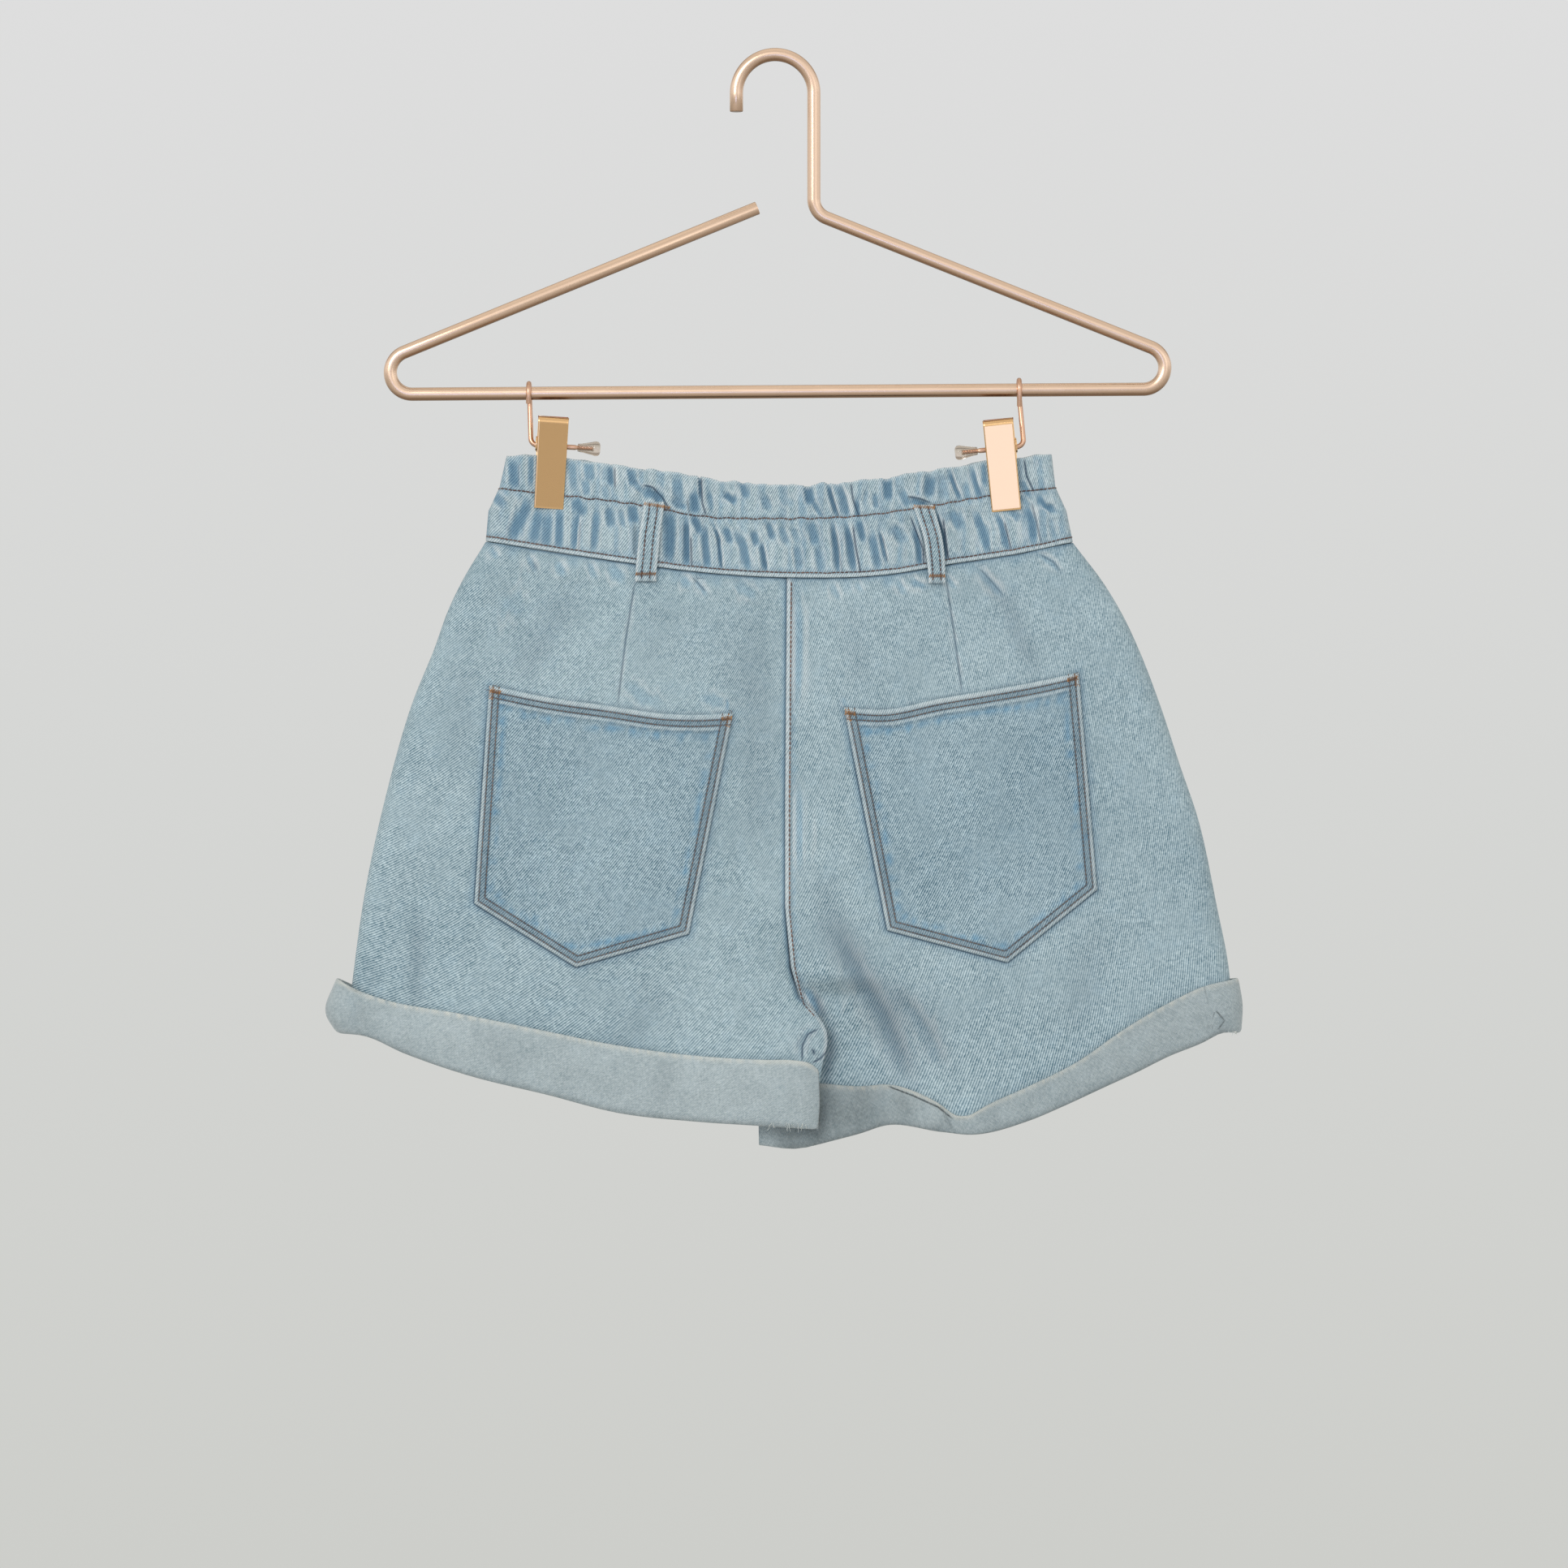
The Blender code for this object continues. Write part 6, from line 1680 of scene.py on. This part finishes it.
def makeClip(name):
    clip, shape, label = clips[name], clipShape, f"clip{name.capitalize()}"
    makePlate(name, back, "front")
    makePlate(name, front, "back")
    # spring: a coil on the pin, its two arms pressing the plates apart
    half, radius = shape["springLength"] / 2, shape["springRadius"]
    swings = np.linspace(0, shape["springTurns"] * 2 * math.pi, shape["springTurns"] * 18 + 1)
    coil = [(blend(-half, half, s / swings[-1]), radius * math.cos(s), radius * math.sin(s)) for s in swings]
    coil = [(-half, 3.4, 8.5), (-half, 3.0, 5.0), (-half, radius, 1.5), *coil,
            (half, radius, 1.5), (half, 3.0, 5.0), (half, 3.4, 8.5)]
    path = [(Vector(p * mm), outOfBack, 1.0) for p in inClip(clip, coil)]
    settings = {"Radius": shape["springWire"] * mm, "Sides": 8, "Finish": wireGold}
    piece = followed(f"{label}Spring", "tube", [path], settings)
    declare(piece, [f"clip_{name}_spring"])
    # the wire: pin, shank behind the bar, and hook over it
    tilt = math.radians(clip["tilt"])
    pin = np.array([math.cos(tilt), 0, -math.sin(tilt)]) * clip["tipWay"]
    middle = np.array([clip["across"], 0, clip["height"]])
    start = middle + pin * (clip["tipStart"] + shape["tipBore"] - 0.6)
    elbow = middle - pin * clip["shankOut"]
    hookAcross = clip["across"] - clip["tipWay"] * clip["hookOut"]
    bar = barHeight(hookAcross)
    points = [start] + [start - pin * k * 0.5 for k in range(1, 26)]
    points += turn(elbow, middle, np.array([hookAcross, shape["loop"], bar - 4]), shape["round"])
    points += [(hookAcross, shape["loop"] * math.cos(a), bar + shape["loop"] * math.sin(a))
               for a in np.linspace(0, math.pi, 25)]
    points.append((hookAcross, -shape["loop"], clip["hookEnd"]))

    def pinThickness(spots, shares):
        made = []
        for spot, share in zip(spots, shares):
            fromMiddle = (np.array(spot) - middle) @ pin
            slim = blend(1.0, 0.77, rise(fromMiddle, clip["tipStart"] - 1.5, clip["tipStart"]))
            ridge = 0.11 * math.sin(fromMiddle * 4.2) if fromMiddle > clip["tipStart"] + 1.5 else 0
            made.append(share * (slim + ridge))
        return made

    settings = {"Radius": shape["pin"] * mm, "Sides": 18, "Finish": wireGold}
    piece = followed(f"{label}Wire", "tube", [wirePath(points, 0.25, pinThickness)], settings)
    declare(piece, [f"clip_{name}_wire"])
    # the clear tip, wider towards its rounded end
    begin, end = clip["tipStart"], clip["tipStart"] + shape["tipLength"]
    profile = [(begin, 1.25), (begin, 1.9), (begin + 0.3, 2.1), (begin + 4, 2.7), (begin + 8, 3.6),
               (end - 3, 4.0), (end - 2, 4.0),
               (end - 1.1, 3.8), (end - 0.4, 3.2), (end, 2.2), (end + 0.1, 0.9), (end + 0.1, 0.0),
               (begin + shape["tipBore"], 0.0),
               (begin + shape["tipBore"], 1.25)]
    steps, points, faces = 28, [], []
    swings = np.linspace(0, 2 * math.pi, steps, endpoint=False)
    for reach, radius in profile:
        points += [(clip["tipWay"] * reach, radius * math.cos(a), radius * math.sin(a)) for a in swings]
    count = len(profile)
    for k in range(count):
        if k == count - 3:
            continue  # both rings there are points on the axis
        for i in range(steps):
            j, here, there = (i + 1) % steps, k * steps, (k + 1) % count * steps
            faces.append((here + i, here + j, there + j, there + i))
    piece = plainMesh(f"{label}Tip", inClip(clip, points), faces, (clearRubber,))
    tidyMesh(piece)
    declare(piece, [f"clip_{name}_tip"])


def tidyMesh(piece):
    work = bmesh.new()
    work.from_mesh(piece.data)
    bmesh.ops.remove_doubles(work, verts=work.verts, dist=1e-6)
    bmesh.ops.dissolve_degenerate(work, edges=work.edges, dist=1e-7)
    bmesh.ops.recalc_face_normals(work, faces=work.faces)
    work.to_mesh(piece.data)
    work.free()
    piece.data.shade_smooth()
    piece.data.set_sharp_from_angle(angle=math.radians(50))


makeHanger()
for clipName in clips:
    makeClip(clipName)
print("hanger and clips made")


# floor, light and camera


def makeFloor():
    made, tree, shader = newMaterial("paleFloor")
    place = put(tree, "ShaderNodeTexCoord").outputs["Object"]
    colour = mixColour(tree, noise(tree, place, 3, 2), fromByte(214, 214, 212), fromByte(220, 220, 218))
    tree.links.new(colour, shader.inputs["Base Color"])
    shader.inputs["Roughness"].default_value = 0.9
    far, behind, ground = 15000, 2500, -1200
    points = [(-far, -far, ground), (far, -far, ground), (far, behind, ground), (-far, behind, ground)]
    floor = plainMesh("floor", points, [(0, 1, 2, 3)], (made,))


skyStops = {  # height of the direction seen, and its grey
    "behind": [(-1.0, (70, 66, 62)), (-0.34, (120, 116, 112)), (-0.2, (198, 199, 195)),
               (-0.14, (205, 206, 202)), (0.0, (213, 214, 212)),
               (0.14, (222, 222, 222)), (0.3, (222, 222, 222)), (0.5, (150, 142, 134)),
               (0.87, (226, 222, 214)), (1.0, (238, 236, 230))],
    "before": [(-1.0, (104, 98, 90)), (-0.4, (108, 100, 90)), (-0.15, (184, 180, 184)),
               (0.06, (220, 220, 220)), (0.16, (255, 255, 255)), (0.4, (255, 255, 255)),
               (0.8, (216, 214, 210)), (1.0, (240, 238, 232))],
}


def makeWorld():
    world = bpy.data.worlds.new("softStudio")
    world.use_nodes = True
    tree = world.node_tree
    ground = tree.nodes["Background"]
    way = put(tree, "ShaderNodeSeparateXYZ", {0: put(tree, "ShaderNodeTexCoord").outputs["Generated"]})
    shades = []
    for stops in skyStops.values():
        ramp = put(tree, "ShaderNodeValToRGB", {0: spread(tree, way.outputs[2], -1, 1)})
        while len(ramp.color_ramp.elements) < len(stops):
            ramp.color_ramp.elements.new(0.5)
        for element, (at, colour) in zip(ramp.color_ramp.elements, stops):
            element.position, element.color = (at + 1) / 2, fromByte(*colour)
        shades.append(ramp.outputs[0])
    share = spread(tree, way.outputs[1], 0.5, 0.0)
    tree.links.new(mixColour(tree, share, *shades), ground.inputs[0])
    ground.inputs[1].default_value = 1.0
    bpy.context.scene.world = world


lamps = {  # place, aimed at, width, height, watts, colour
    "key": ((-1.3, -2.4, 0.9), (0, 0, -0.35), 1.3, 1.1, 22.5, (1.0, 0.985, 0.965)),
    "fill": ((1.6, -2.2, 0.2), (0, 0, -0.35), 1.0, 1.4, 2, (0.97, 0.99, 1.0)),
    "plateCard": ((-0.42, -3.1, -0.58), (0.1, 0, -0.25), 1.1, 0.75, 4.5, (0.38, 0.515, 1.0)),
}


def makeLights():
    for name, (place, aim, width, height, watts, colour) in lamps.items():
        data = bpy.data.lights.new(name, "AREA")
        data.shape, data.size, data.size_y = "RECTANGLE", width, height
        data.energy, data.color = watts, colour
        lamp = bpy.data.objects.new(name, data)
        lamp.location = place
        lamp.rotation_euler = (Vector(aim) - Vector(place)).to_track_quat("-Z", "Y").to_euler()
        bpy.context.collection.objects.link(lamp)


def makeCamera():
    data = bpy.data.cameras.new("camera")
    data.lens, data.sensor_width = 127.0, 36.0
    data.clip_start, data.clip_end = 0.05, 30.0
    camera = bpy.data.objects.new("camera", data)
    camera.location = (0.0048, -3.0, -0.392)
    camera.rotation_euler = (math.radians(90), 0, 0)
    bpy.context.collection.objects.link(camera)
    bpy.context.scene.camera = camera


makeFloor()
makeWorld()
makeLights()
makeCamera()
bpy.context.scene.view_settings.view_transform = "Standard"
print("floor, light and camera made")
